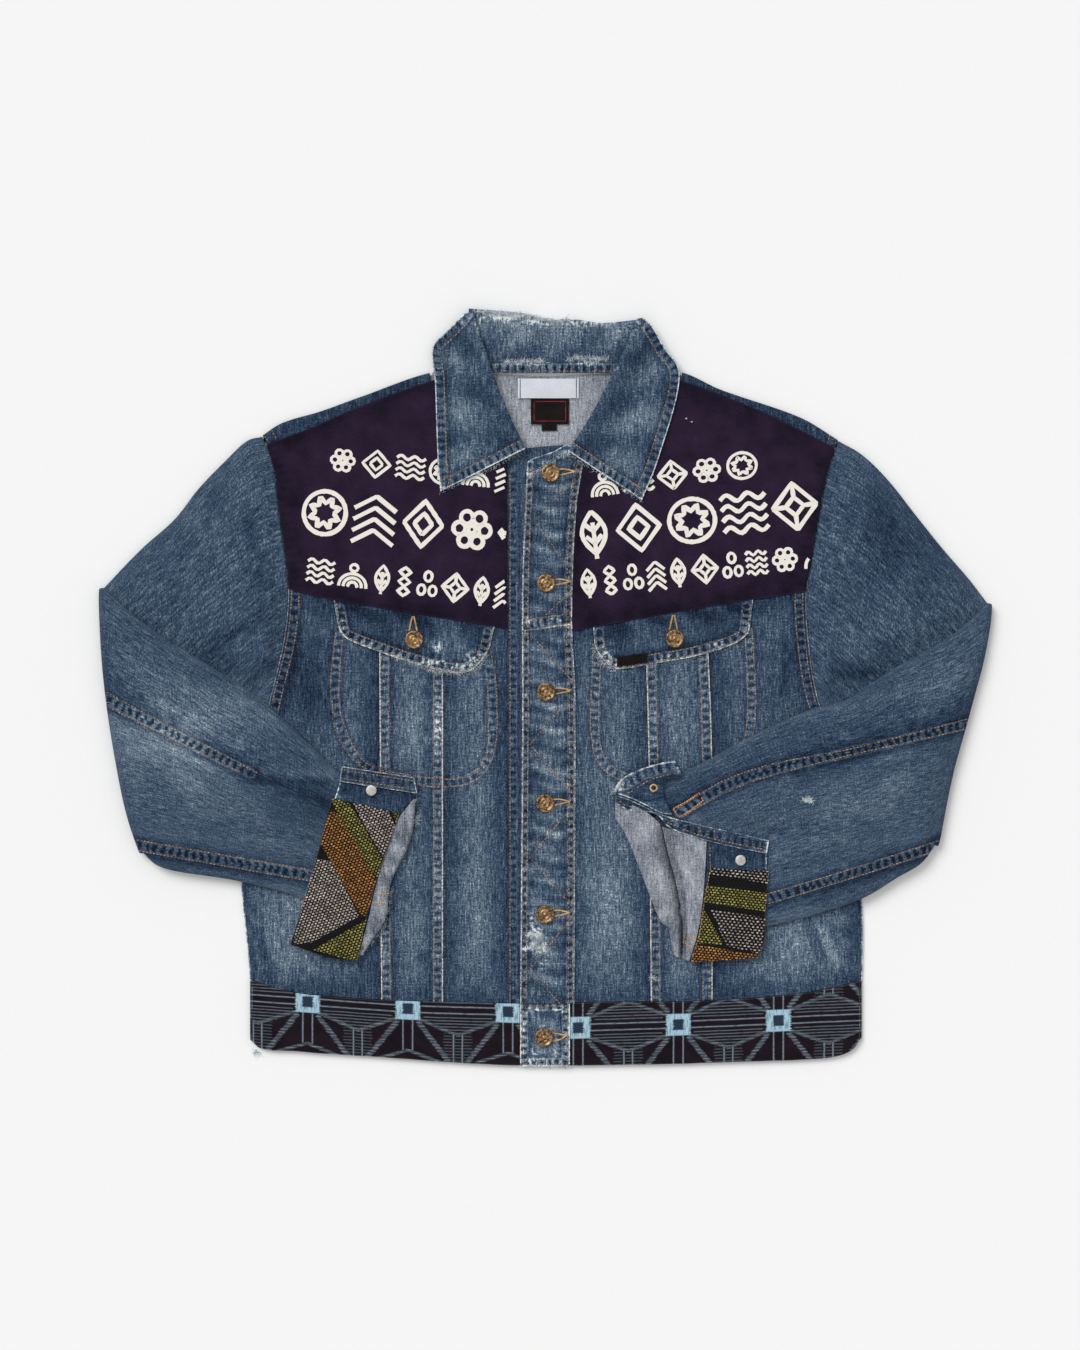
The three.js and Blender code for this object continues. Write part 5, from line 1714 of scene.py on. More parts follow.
def build_right_cuff():
    hem_front = flat_piece(
        [(64, -96), (67, -98.5)], [(119, -68), (124.5, -81), (110, -86), (108, -98), (116, -117)],
        [(64, -96), (66, -90), (74, -82), (88, -75.5), (104.7, -70.4), (119, -68)],
        [(67, -98.5), (79, -102.5), (90.6, -108), (107, -116), (116, -117)], BINDING,
    )
    band = curve([(70, -91), (78, -87), (90, -80.5), (106, -75.5), (121, -73)], 40)

    def curl(x, y, u, v):
        away, _ = nearest(x, y, band)
        swell = 1.8 * hump(x - 70, 7) + 0.9 * hump(away, 5)
        return swell + 0.5 * np.sin(u * 40) * smooth(7, 3, away) - 0.8

    sheet(
        "cuff_right_hem_front", hem_front, DOUBLE, 60, 44, "denim", ["sleeve_right_under"], "folded",
        relief=curl, worn_sides="bt", seams=[(band, 5, 0.8)], tone=0.03, fades=False, weave=crossways,
        worn=[(66, -94, 5, 6, 0.9), (122, -74.5, 2.5, 6, 1.0), (90, -108, 24, 2.0, 0.5)],
    )
    hem_back = flat_piece(
        [(66, -108), (67.5, -100)], [(203, -153), (205, -141)],
        [(66, -108), (78, -113.5), (88, -114), (98, -115.5), (106, -120), (112, -128), (140, -139),
         (182, -149), (203, -153)],
        [(67.5, -100), (79, -104), (90.6, -109.5), (108, -117.5), (144, -127), (182, -135.5), (205, -141)],
        BINDING,
    )
    row = curve([(67, -110), (90, -118), (108, -125), (142, -133), (182, -142), (204, -147)], 30)
    sheet(
        "cuff_right_hem_back", hem_back, DOUBLE, 90, 8, "denim", ["sleeve_right_outer"], "folded",
        relief=lambda x, y, u, v: 0.3 * np.sin(u * 46) * smooth(0, 0.3, v) * smooth(1, 0.7, v),
        seams=[(row, 4.5, 0.7)], worn_sides="rbt", tone=-0.02, fades=False, weave=crossways,
        worn=[(204, -147, 3, 7, 0.8), (118, -122, 4, 4, 0.7)],
    )
    outer = [(195, -247), (201, -232), (202, -204), (203, -154)]
    facing = flat_piece(
        [(133, -251), outer[0]], [(149, -142), outer[-1]],
        [(133, -251), (141, -225), (146, -190), (149, -142)], outer, CUFF,
    )
    sheet(
        "cuff_right_facing", facing, DENIM, 54, 30, "denim", ["sleeve_right_outer"],
        worn_sides="t", tone=-0.07, fades=False, worn=[(204, -160, 3, 10, 0.8)],
        relief=lambda x, y, u, v: 0.5 * np.sin(x / 4 + y / 19) * smooth(0.75, 0.95, v),
    )
    patch = flat_piece(
        [(133, -252), (160, -251), (195, -248)], [(151, -166), (205, -169)],
        [(133, -252), (140, -230), (145, -197), (151, -166)],
        [(195, -248), (201, -232), (202, -204), (205, -169)], ON_CUFF,
    )
    sheet("cuff_right_patch", patch, PATCH_CLOTH, 40, 26, "weave_black", ["cuff_right_facing"],
          slot_name="woven_cuff_cloth", weave=turned_weave(-6), worn_sides="bt", bands=RIGHT_CUFF_BANDS,
          relief=lambda x, y, u, v: 0.25 * (1 + np.sin(y / 8)))
    inside_strip = flat_piece(
        [(126, -249), (132, -251)], [(107, -128), (148, -142)],
        [(126, -249), (126, -216), (121, -185), (112, -150), (107, -128)],
        [(132, -251), (140, -225), (145, -190), (148, -142)], CUFF,
    )
    sheet("cuff_right_inside", inside_strip, DENIM, 60, 24, "denim_inside", ["sleeve_right_outer"],
          relief=lambda x, y, u, v: 0.4 * np.sin(y / 7 + x / 5) - 3.0 * smooth(0.35, 0, v),
          tone=0.02, fades=False)

    plan = spanned(
        edge([(118, -246), (125, -249)]), edge([(65, -106), (80, -108.5), (92, -114.5), (106, -126)]),
        edge([
            (118, -246), (113, -221), (107, -216), (98, -195), (84, -159), (72, -131), (65, -121), (65, -106),
        ]),
        edge([(125, -249), (125, -216), (120, -185), (111, -150), (106, -126)]),
    )

    def arch(u, v):
        flat = plan(u, v)
        height = mix(6.2, 12.6, np.sin(math.pi * v) ** 0.8) + drape(flat[..., 0], flat[..., 1])
        return np.concatenate([flat, height[..., None]], -1)

    def lobe_relief(x, y, u, v):
        away, _ = nearest(x, y, [(106, -207), (118, -203), (124, -208)])
        lift = smooth(0, 0.2, v)
        return 1.8 * hump(away, 4) * lift + 0.45 * np.sin(y / 8 + 2 * np.sin(x / 9)) * lift

    sheet("cuff_right_lobe", arch, DENIM, 64, 34, "denim_inside", ["front_right_mid"], "folded",
          relief=lobe_relief, tone=0.04, fades=False)


# ---- Collar and labels --------------------------------------------------------------------------------


def collar_back():
    """The collar's cloth behind the neck, which stands up from the seam and rolls over."""
    roll_top = through([(-67, 347), (-22, 343), (14, 336), (29, 337), (53, 334), (85, 337)])
    radius = 3
    low = DOUBLE / 2
    high = low + 2 * radius

    def place(u, v):
        x = mix(-70, 88, u)
        crest = roll_top(x) - radius - DOUBLE / 2
        angle = math.pi * np.clip((v - 0.4) / 0.3, 0, 1)
        rising, falling = np.clip(v / 0.4, 0, 1), np.clip((v - 0.7) / 0.3, 0, 1)
        y = np.where(v < 0.4, mix(NECK_SEAM, crest, rising), crest + radius * np.sin(angle))
        z = low + radius + radius * np.cos(angle)
        z = np.where(v < 0.4, mix(DENIM + GAP + DOUBLE / 2, high, rising), z)
        y = np.where(v > 0.7, mix(crest, NECK_SEAM + 12, falling), y)
        return np.stack([x, y, np.where(v > 0.7, low, z)], -1)

    return place


def collar_leaf(roll_line, outline):
    """A leaf of the collar, which rises under its roll line, turns over it and lies down to its point."""
    inner, outer = edge(roll_line), edge(outline)
    lying = ON_FRONT_TOP + GAP + DOUBLE / 2
    rise = 4.2
    radius = rise / 2

    def place(u, v):
        start, end = inner(v), outer(v)
        across = end - start
        width = np.linalg.norm(across, axis=-1)
        across = across / width[..., None]
        foot = np.minimum(10, width / 3)
        crest = start + across * (radius + DOUBLE / 2)
        angle = math.pi * np.clip((u - 0.2) / 0.3, 0, 1)
        share = np.clip((u - 0.5) / 0.5, 0, 1)
        offset = np.where(u < 0.2, foot * (1 - u / 0.2), -radius * np.sin(angle))
        offset = np.where(u > 0.5, share * (width - radius - DOUBLE / 2), offset)
        z = lying + radius * (1 - np.cos(angle))
        z = np.where(u > 0.5, np.maximum(lying, lying + rise * (1 - share * width / (foot + 16))), z)
        return np.concatenate([crest + across * offset[..., None], z[..., None]], -1)

    return place


def leaf_rows(name, outer_inset, low_inset):
    """Lines inside a collar leaf's outer edge and its lower edge."""
    roll_line, outline = COLLAR_LEAVES[name]
    sign = 1 if name == "left" else -1
    low_edge = np.linspace(outline[-1], roll_line[-1], 30)
    return beside(curve(outline, outer_inset[1]), sign * outer_inset[0]), beside(low_edge, sign * low_inset)


def build_collar():
    def spacing(u, v):
        return np.interp(u, [0, 0.1, 0.3, 1], [0, 0.2, 0.5, 1]), v

    def back_relief(x, y, u, v):
        return 0.35 * np.sin(x / 7 + 1.4 * np.sin(y / 9)) * smooth(0, 0.1, v) * smooth(0.42, 0.3, v)

    def leaf_relief(x, y, u, v):
        waves = 0.45 * np.sin(v * 21 + 1.5 * np.sin(u * 9))
        return waves * smooth(0.5, 0.6, u) * smooth(0, 8, (1 - u) * 90)

    neck = (np.array([(-52.0, 292.0), (66.0, 292.0)]), 4.5, 0.9)
    meshes = [
        cloth_mesh("collar_back", collar_back(), DOUBLE, 80, 60, "denim", relief=back_relief, tone=0.08,
                   worn=COLLAR_BACK_WORN, seams=[neck])
    ]
    for name, leaf in COLLAR_LEAVES.items():
        outer, low = leaf_rows(name, (4.2, 60), 4.2)
        meshes.append(
            cloth_mesh(f"collar_{name}", collar_leaf(*leaf), DOUBLE, 60, 70, "denim", relief=leaf_relief,
                       spacing=spacing, worn_sides="rt", tone=0.06, worn=LEAVES_WORN,
                       seams=[(outer, 4.2, 0.7), (low, 4.2, 0.9)])
        )
    cloth("collar", meshes)


def build_labels():
    for name, look, left, right, bottom, top, held in (
        ("neck_label", "label_white", -25, 31, 265, 283, "folded"),
        ("lower_label", "label_black", -13, 22, 241, 264.7, "laid"),
        ("size_tag", "label_black", -3, 11, 235, 240.7, "folded"),
    ):
        plan = between(at(left), at(right), at(bottom), at(top), inset=0)
        sheet(name, laid(plan, DENIM + GAP + PATCH_CLOTH / 2), PATCH_CLOTH, 28, 12, look, ["back_yoke"], held,
              relief=lambda x, y, u, v: 0.25 + 0.25 * np.sin(u * 6.3 + 1))
    ends = [(np.array([(x, 265.5), (x, 282.5)]), 0.7) for x in (-22.8, 28.8)]
    laid_strokes("neck_label_lines", "thread_navy", ["neck_label_cloth"], ends)
    border = closed([(-10, 244), (19, 244), (19, 262), (-10, 262)])
    laid_strokes("lower_label_border", "thread_red", ["lower_label_cloth"], [(border, 0.8)])


# ---- Buttons ------------------------------------------------------------------------------------------

# Half sections, as shares of the radius and of the height: a dished button with a ring, and a plain disc
DISHED = [
    (0.0, 0.0), (0.9, 0.0), (1.0, 0.35), (0.99, 0.7), (0.93, 0.96), (0.86, 1.0), (0.79, 0.94), (0.75, 0.78),
    (0.5, 0.74), (0.46, 0.84), (0.4, 0.84), (0.36, 0.74), (0.16, 0.76), (0.1, 0.86), (0.0, 0.88),
]
DISC = [(0.0, 0.0), (0.94, 0.0), (1.0, 0.3), (0.99, 0.6), (0.93, 0.86), (0.84, 0.96), (0.4, 1.0), (0.0, 1.0)]
DOTS = 14
DOTS_REACH, DOT_LEVEL, DOT_SIZE = 0.62, 0.75, 0.075  # shares of the radius, the height and the radius


def metal_piece(name, look, slot_name, x, y, base, radius, height, profile, dots=0):
    """A piece spun from its half section, with a ring of dots raised on it."""
    centre = Vector(metres([(x, y, base)])[0])
    bm = bmesh.new()
    verts = [bm.verts.new(centre + Vector((r * radius / 1000, 0, z * height / 1000))) for r, z in profile]
    section = verts + [bm.edges.new(pair) for pair in zip(verts[:-1], verts[1:])]
    bmesh.ops.spin(
        bm, geom=section, cent=centre, axis=(0, 0, 1), angle=2 * math.pi, steps=40, use_merge=True
    )
    for i in range(dots):
        angle = 2 * math.pi * i / dots
        reach = DOTS_REACH * radius / 1000
        place = Vector((reach * math.cos(angle), reach * math.sin(angle), DOT_LEVEL * height / 1000))
        size = DOT_SIZE * radius / 1000
        shape = Matrix.Translation(centre + place) @ Matrix.Diagonal((size, size, size * 0.9, 1))
        bmesh.ops.create_uvsphere(bm, u_segments=8, v_segments=5, radius=1.0, matrix=shape)
    bmesh.ops.remove_doubles(bm, verts=bm.verts[:], dist=1e-6)
    bmesh.ops.recalc_face_normals(bm, faces=bm.faces[:])
    for face in bm.faces:
        face.smooth = True
    mesh = bpy.data.meshes.new(name)
    bm.to_mesh(mesh)
    bm.free()
    mesh.materials.append(material(look))
    finished(f"{name}_metal", mesh, (name,))


def build_buttons():
    given = settings("buttons")
    on_placket = ON_FRONT_TOP + GAP
    buttons = []
    for i, (x, y) in enumerate(BUTTONS, start=1):
        buttons.append((f"button_{i}", x, y, on_placket + float(drape(x, y)) + 0.3))
    buttons.append(("button_6", *WAIST_BUTTON, BAND_FRONT + DOUBLE / 2 + GAP + 0.2))
    for name, (x, y) in FLAP_BUTTONS.items():
        buttons.append((f"flap_button_{name}", x, y, on_placket + float(drape(x, y)) + 0.5))
    for name, x, y, base in buttons:
        metal_piece(name, "brass", "antique_brass", x, y, base, given.radius, given.height, DISHED, DOTS)
    for name, (x, y) in TACK_BACKS.items():
        under = CUFF - DENIM / 2 + DOUBLE if name == "left" else CUFF_TOP
        base = under + GAP + float(drape(x, y))
        size = (given.tack_radius, given.tack_height)
        metal_piece(f"tack_back_{name}", "nickel", "nickel", x, y, base, *size, DISC)


# ---- Stitching ----------------------------------------------------------------------------------------


def bead(sides=5):
    """A stitch one unit long and one thick, lying along x: two rings and two ends."""
    turn = 2 * math.pi * np.arange(sides) / sides
    ring = np.stack([0 * turn, 0.5 * np.cos(turn), 0.5 * np.sin(turn)], -1)
    points = np.vstack([[(-0.5, 0, 0)], ring - [0.32, 0, 0], ring + [0.32, 0, 0], [(0.5, 0, 0)]])
    faces = []
    for k in range(sides):
        n = (k + 1) % sides
        faces += [(0, 1 + n, 1 + k), (1 + k, 1 + n, 1 + sides + n, 1 + sides + k),
                  (1 + sides + k, 1 + sides + n, 2 * sides + 1)]
    return points, faces


def along_line(line, pitch):
    """Points and headings at even distances along a line of points."""
    line = np.asarray(line, float)
    run = run_of(line)
    s = np.arange(pitch / 2, run[-1], pitch)
    heading = spaced(line, run, np.minimum(s + 1, run[-1])) - spaced(line, run, np.maximum(s - 1, 0))
    return spaced(line, run, s), heading / np.maximum(np.linalg.norm(heading, axis=1), 1e-9)[:, None]


def sew(name, look, rows, surface, pitch=None, length=None, thickness=None):
    """Rows of stitches laid on whatever piece shows at each point. rows are (piece names, line)."""
    given = settings("stitching")
    length, thickness = length or given.length, thickness or given.thickness
    shape, faces = bead()
    scaled = shape * [length / 1000, thickness / 1000, thickness * 0.8 / 1000]
    vertices, polygons = [], []
    for owners, line in rows:
        points, headings = along_line(line, pitch or given.pitch)
        for point, heading in zip(metres(points), headings):
            owner, z, normal = surface.hit(*point)
            if owner is None or owner.removesuffix("_cloth") not in owners:
                continue
            forward = Vector((*heading, 0))
            forward = (forward - normal * forward.dot(normal)).normalized()
            turn = np.array([forward, normal.cross(forward), normal])
            centre = np.array([point[0], point[1], z + thickness * 0.12 / 1000])
            first = len(vertices)
            vertices += (scaled @ turn + centre).tolist()
            polygons += [tuple(first + k for k in face) for face in faces]
    if not vertices:
        raise RuntimeError(f"{name} has no stitches")
    finished(name, merged(name, vertices, polygons, look))


# Short rows on the shoulders, and the placket's zigzag
SHOULDER_ROWS = [
    [(-260, 233), (-254, 225)],
    [(-252, 236), (-246, 227)],
    [(262, 232), (259.5, 224)],
    [(268.5, 228.5), (266.5, 222)],
]
ZIGZAG = [
    [(18.4, 214.8), (32.2, 195.5), (-9.2, 151.3), (26.7, 102.6)],
    [(25.8, 89.7), (-4.6, 60.3)],
    [(-12, 46.5), (25.8, 4.1)],
    [(26.7, -6.9), (-13.8, -52.9), (25.8, -98.9)],
    [(25.8, -109), (-13.8, -156.9), (25.8, -202.9)],
    [(25.8, -210.2), (-13.8, -259.9), (12.9, -290.3)],
]
EYELET = (99.4, -92.7)
PLACKET = ["placket_upper", "placket_lower"]

# Bars on the sleeve ends and the forearm, and the rows along the sleeve ends' edges
BARS = [
    (["cuff_left_inside"], [(-158, -190), (-143, -189.5)]),
    (["cuff_left_inside"], [(-158, -198), (-143, -197.5)]),
    (["cuff_right_inside"], [(126.5, -227.3), (139.5, -232.7)]),
    (["cuff_right_inside"], [(125.5, -233.4), (138, -240.8)]),
    (["sleeve_right_outer", "sleeve_right_under"], [(117.5, -112), (122.5, -120)]),
    (["sleeve_right_outer", "sleeve_right_under"], [(141.1, -97.4), (144.7, -104.5)]),
]
BAR_CURVES = [[(117.5, -112), (130, -105), (141.1, -97.4)], [(122.5, -120), (134, -113), (144.7, -104.5)]]
CUFF_ROWS = [
    ("cuff_right_hem_front", [(75, -98), (81, -95), (93, -87), (107, -82), (122, -79)], 40),
    ("cuff_right_patch", [(134, -250), (141, -228), (146, -197), (151.5, -167)], 30),
    ("cuff_right_facing", [(151.5, -166), (151, -144)], 8),
    ("cuff_right_hem_back", [(68, -104.5), (77, -109.5), (86, -111.5)], 60),
    ("cuff_right_hem_back", [(111, -124), (140, -135.5), (182, -145.5), (203, -149.5)], 60),
]


def felled(centre, half=ROW_GAP / 2):
    return [beside(centre, half), beside(centre, -half)]


def body_rows():
    rows = []
    for name in SIDES:
        fronts = [f"front_{name}_{part}" for part in ("side", "mid", "centre")]
        rows += [(fronts, row) for centre, _, _ in BODY_SEAMS[name] for row in felled(centre)]
        rows += [(fronts, curve(row, 120)) for row in BAG_ROWS[name]]
    return rows


def arm_rows():
    rows = []
    for name, side in SIDES.items():
        out = 1 if name == "left" else -1
        armhole_line = sampled(side["outer"], 90, -45, steps=60, swap=True)
        rows += [([f"front_{name}_side"], armhole_line + [out * inset, 0]) for inset in (3.2, 10.2)]
        sleeve = [f"sleeve_{name}_outer", f"sleeve_{name}_under"]
        rows += [(sleeve, curve(row, 80)) for seam in FOREARM_SEAMS[name] for row in seam]
    return rows + [(["back_yoke"], row) for row in SHOULDER_ROWS]


def edge_rows():
    rows = []
    for name in SIDES:
        rows += [([f"flap_{name}"], flap_row(name, inset)) for inset in (2.0, 8.6)]
        rows += [(["collar"], line) for line in leaf_rows(name, (8.5, 80), 8.5)]
    for inset in (1.6, 5.6):
        rows.append((PLACKET, sampled(PLACKET_LEFT, -290, 200, 90, True) + [inset, 0]))
        rows.append((PLACKET, sampled(PLACKET_RIGHT, -290, 208, 90, True) - [inset, 0]))
    rows += [(["placket_upper"], sampled(PLACKET_SEAM, -21, 27) + [0, lift]) for lift in (1.5, 10.5)]
    rows += [
        (["under_placket"], [(-32, -290), (-32, 200)]),
        (["collar"], [(-50, 289.6), (64, 289.6)]),
        (["waistband_tab"], closed([(-20.8, -293.2), (-20.8, -346.8), (20.8, -346.8), (20.8, -293.2)])),
        (["cuff_left_hem"], [(-119, -94.5), (-188, -83.5)]),
        (["cuff_left_hem"], [(-119.5, -86.5), (-187, -76)]),
        (["cuff_right_hem_back"], [(141, -128), (140, -139)]),
        (["cuff_right_hem_back"], [(155, -131), (155, -141)]),
    ]
    return rows + [([owner], curve(row, count)) for owner, row, count in CUFF_ROWS]


def buttonhole_rows():
    rows = []
    for x, y in BUTTONS:
        for low, bulge in ((3.2, 3.4), (-2, -0.8)):
            rows.append((PLACKET, curve([(x + 6, y + low), (x + 14, y + bulge), (x + 22.5, y + 1.5)], 30)))
    x, y = WAIST_BUTTON
    for low in (-3, 4):
        line = [(x + 6, y + low), (x + 15, y + low * 0.7), (x + 20.5, y + 1.5)]
        rows.append((["waistband_tab"], curve(line, 30)))
    for name, (x, y) in FLAP_BUTTONS.items():
        for side in (-1, 1):
            line = [(x - 1 + side * 3.6, y + 8), (x - 1 + side * 2.6, y + 13), (x - 1 + side * 0.8, y + 21)]
            rows.append(([f"flap_{name}"], curve(line, 30)))
    rows.append((["cuff_right_hem_front"], arc(*EYELET, 3.0, count=40)))
    return rows


def build_stitching():
    surface = Surface()
    bars = BARS + [(BARS[-1][0], curve(line, 20)) for line in BAR_CURVES]
    sew("body_stitching", "thread_tan", body_rows(), surface)
    sew("arm_stitching", "thread_tan", arm_rows(), surface)
    sew("bar_stitching", "thread_orange", bars, surface, pitch=2.2, length=2.0, thickness=1.15)
    sew("edge_stitching", "thread_tan", edge_rows(), surface)
    zigzag = [(PLACKET, line) for line in ZIGZAG]
    sew("placket_zigzag", "thread_tan", zigzag, surface, pitch=3.2, length=2.5, thickness=0.85)
    # The eyelet's hole is a flat dark disc laid on the hem: painted shade.
    hole = [(arc(*EYELET, 1.0, count=12), 2.1)]
    laid_strokes("cuff_eyelet_hole", "hole_shade", ["cuff_right_hem_front_cloth"], hole)
    holes = buttonhole_rows()
    sew("buttonholes", "thread_buttonhole", holes, surface, pitch=0.9, length=1.8, thickness=1.6)


# ---- Printed motifs -----------------------------------------------------------------------------------

# Each motif is a list of lines in a square of one unit, around its middle


def diamond(wide, high, y=0.0):
    return closed([(0, y + high), (wide, y), (0, y - high), (-wide, y)])


def ring_and_star():
    reach = [(0.34 if k % 2 else 0.19, k * math.pi / 8) for k in range(16)]
    return [arc(0, 0, 0.44), closed([(r * math.sin(angle), r * math.cos(angle)) for r, angle in reach])]


def nested_diamonds():
    return [diamond(r * 0.9, r) for r in (0.47, 0.22)]


def chevrons():
    return [np.array([(-0.42, y - 0.14), (0, y + 0.12), (0.42, y - 0.14)]) for y in (0.33, 0.1, -0.13, -0.36)]


def waves():
    x = np.linspace(-0.45, 0.45, 30)
    return [np.stack([x, y + 0.07 * np.sin(x * 14)], -1) for y in (0.34, 0.12, -0.1, -0.32)]


def rosette():
    turns = [k * math.pi / 3 for k in range(6)]
    return [arc(0, 0, 0.08), *[arc(0.27 * math.cos(turn), 0.27 * math.sin(turn), 0.13) for turn in turns]]


def half_rings():
    return [*[arc(0, -0.36, r, end=0.5) for r in (0.42, 0.28, 0.14)], arc(0, 0.26, 0.12)]


def crossed_diamond():
    """A diamond parted in four by a small diamond with a bar to each corner."""
    ways = ((1, 0), (-1, 0), (0, 1), (0, -1))
    bars = [np.array([(0.19 * x, 0.19 * y), (0.45 * x, 0.45 * y)]) for x, y in ways]
    return [diamond(0.46, 0.48), diamond(0.19, 0.19), *bars]


def leaf():
    """A leaf stood on its stalk, with a rib and two pairs of veins."""
    turn = np.linspace(0, 1, 14)
    side = np.stack([0.34 * np.sin(math.pi * turn), -0.42 + 0.88 * turn], -1)
    outline = np.vstack([side, (side * [-1, 1])[::-1]])
    veins = [np.array([(0, y), (s * 0.2, y + 0.14)]) for y in (-0.2, 0.05) for s in (-1, 1)]
    return [closed(outline), np.array([(0, -0.48), (0, 0.2)]), *veins]


def stacked_diamonds():
    return [diamond(0.3, 0.15, y) for y in (0.33, 0, -0.33)]


def cluster():
    """Three small rings, one over two."""
    return [arc(x, y, 0.17) for x, y in ((0, 0.27), (-0.26, -0.2), (0.26, -0.2))]


# Rows of motifs on each patch: start, heading in degrees, motif height, stroke, and motifs with their widths
PRINT_ROWS = {
    "left": [
        ((-199, 209), -6.2, 26, 2.7, [
            (rosette, 27), (nested_diamonds, 30), (waves, 28), (ring_and_star, 28), (half_rings, 28),
            (chevrons, 28),
        ]),
        ((-224, 162), -6.5, 45, 4.1, [
            (ring_and_star, 44), (chevrons, 43), (nested_diamonds, 42), (rosette, 43), (crossed_diamond, 42),
        ]),
        ((-219, 107), -6.8, 27, 2.8, [
            (waves, 26), (half_rings, 30), (leaf, 18), (stacked_diamonds, 18), (cluster, 20),
            (crossed_diamond, 26), (leaf, 18), (chevrons, 18), (stacked_diamonds, 16), (cluster, 20),
            (rosette, 26),
        ]),
    ],
    "right": [
        ((40, 184), 7.6, 27, 2.8, [
            (half_rings, 28), (waves, 30), (crossed_diamond, 29), (rosette, 30), (ring_and_star, 30),
        ]),
        ((29, 138), 7.8, 45, 4.1, [
            (leaf, 32), (nested_diamonds, 46), (ring_and_star, 48), (waves, 44), (crossed_diamond, 44),
        ]),
        ((31, 94), 6.8, 27, 2.8, [
            (leaf, 18), (stacked_diamonds, 17), (cluster, 20), (chevrons, 18), (leaf, 18),
            (crossed_diamond, 26), (cluster, 20), (waves, 20), (rosette, 27), (half_rings, 28),
        ]),
    ],
}
MOTIF_GAP = 2.5
DRIPS = [(129, 246, 0.9, 1.5), (134, 243, 0.8, 1.4)]  # two drops of ink on the right patch


def thickened(line, width, detail=2.2):
    """A line of points as a strip of small quads: left and right points in turn."""
    line = np.asarray(line, float)
    run = run_of(line)
    points = spaced(line, run, np.linspace(0, run[-1], max(2, int(run[-1] / detail) + 1)))
    if np.linalg.norm(line[0] - line[-1]) < 1e-6 and len(points) > 3:
        heading = np.roll(points[:-1], -1, axis=0) - np.roll(points[:-1], 1, axis=0)
        heading = np.vstack([heading, heading[:1]])
    else:
        heading = np.gradient(points, axis=0)
        ends = heading[[0, -1]] / np.linalg.norm(heading[[0, -1]], axis=1)[:, None]
        points = np.vstack([points[0] - ends[0] * width * 0.35, points, points[-1] + ends[1] * width * 0.35])
        heading = np.vstack([heading[:1], heading, heading[-1:]])
    heading /= np.maximum(np.linalg.norm(heading, axis=1), 1e-9)[:, None]
    side = np.stack([-heading[:, 1], heading[:, 0]], -1)
    ragged = width / 2 * (1 + 0.10 * np.sin(points[:, :1] * 1.9 + points[:, 1:] * 2.3))
    return points + side * ragged, points - side * ragged


def laid_strokes(name, look, owners, strokes, lift=0.15):
    """Lines of a given width laid on the pieces named; what falls off them is left out."""
    surface = Surface(owners)
    vertices, faces = [], []
    for line, width in strokes:
        lefts, rights = thickened(line, width)
        spots = metres(np.concatenate([lefts, rights]))
        hits = [surface.hit(*point) for point in spots]
        half = len(lefts)
        first = len(vertices)
        vertices += [(px, py, hit[1] + lift / 1000) for (px, py), hit in zip(spots, hits)]
        for k in range(half - 1):
            corners = (k, half + k, half + k + 1, k + 1)
            if all(hits[c][0] for c in corners):
                faces.append(tuple(first + c for c in corners))
    used = sorted({k for face in faces for k in face})
    number = {old: new for new, old in enumerate(used)}
    mesh = merged(name, [vertices[k] for k in used], [[number[k] for k in f] for f in faces], look)
    finished(name, mesh)


def build_print():
    for name, rows in PRINT_ROWS.items():
        strokes = []
        for start, degrees, height, stroke, motifs in rows:
            turn = math.radians(degrees)
            heading = np.array([math.cos(turn), math.sin(turn)])
            upward = np.array([-math.sin(turn), math.cos(turn)])
            along = 0.0
            for motif, width in motifs:
                centre = np.array(start) + heading * (along + width / 2)
                along += width + MOTIF_GAP
                for line in motif():
                    flat = centre + line[:, :1] * width * heading + line[:, 1:] * height * upward
                    strokes.append((flat, stroke))
        if name == "right":
            strokes += [(arc(x, y, radius, count=8), width) for x, y, radius, width in DRIPS]
        laid_strokes(f"print_{name}", "print_ink", [f"yoke_patch_{name}_cloth"], strokes)


# ---- Fraying ------------------------------------------------------------------------------------------

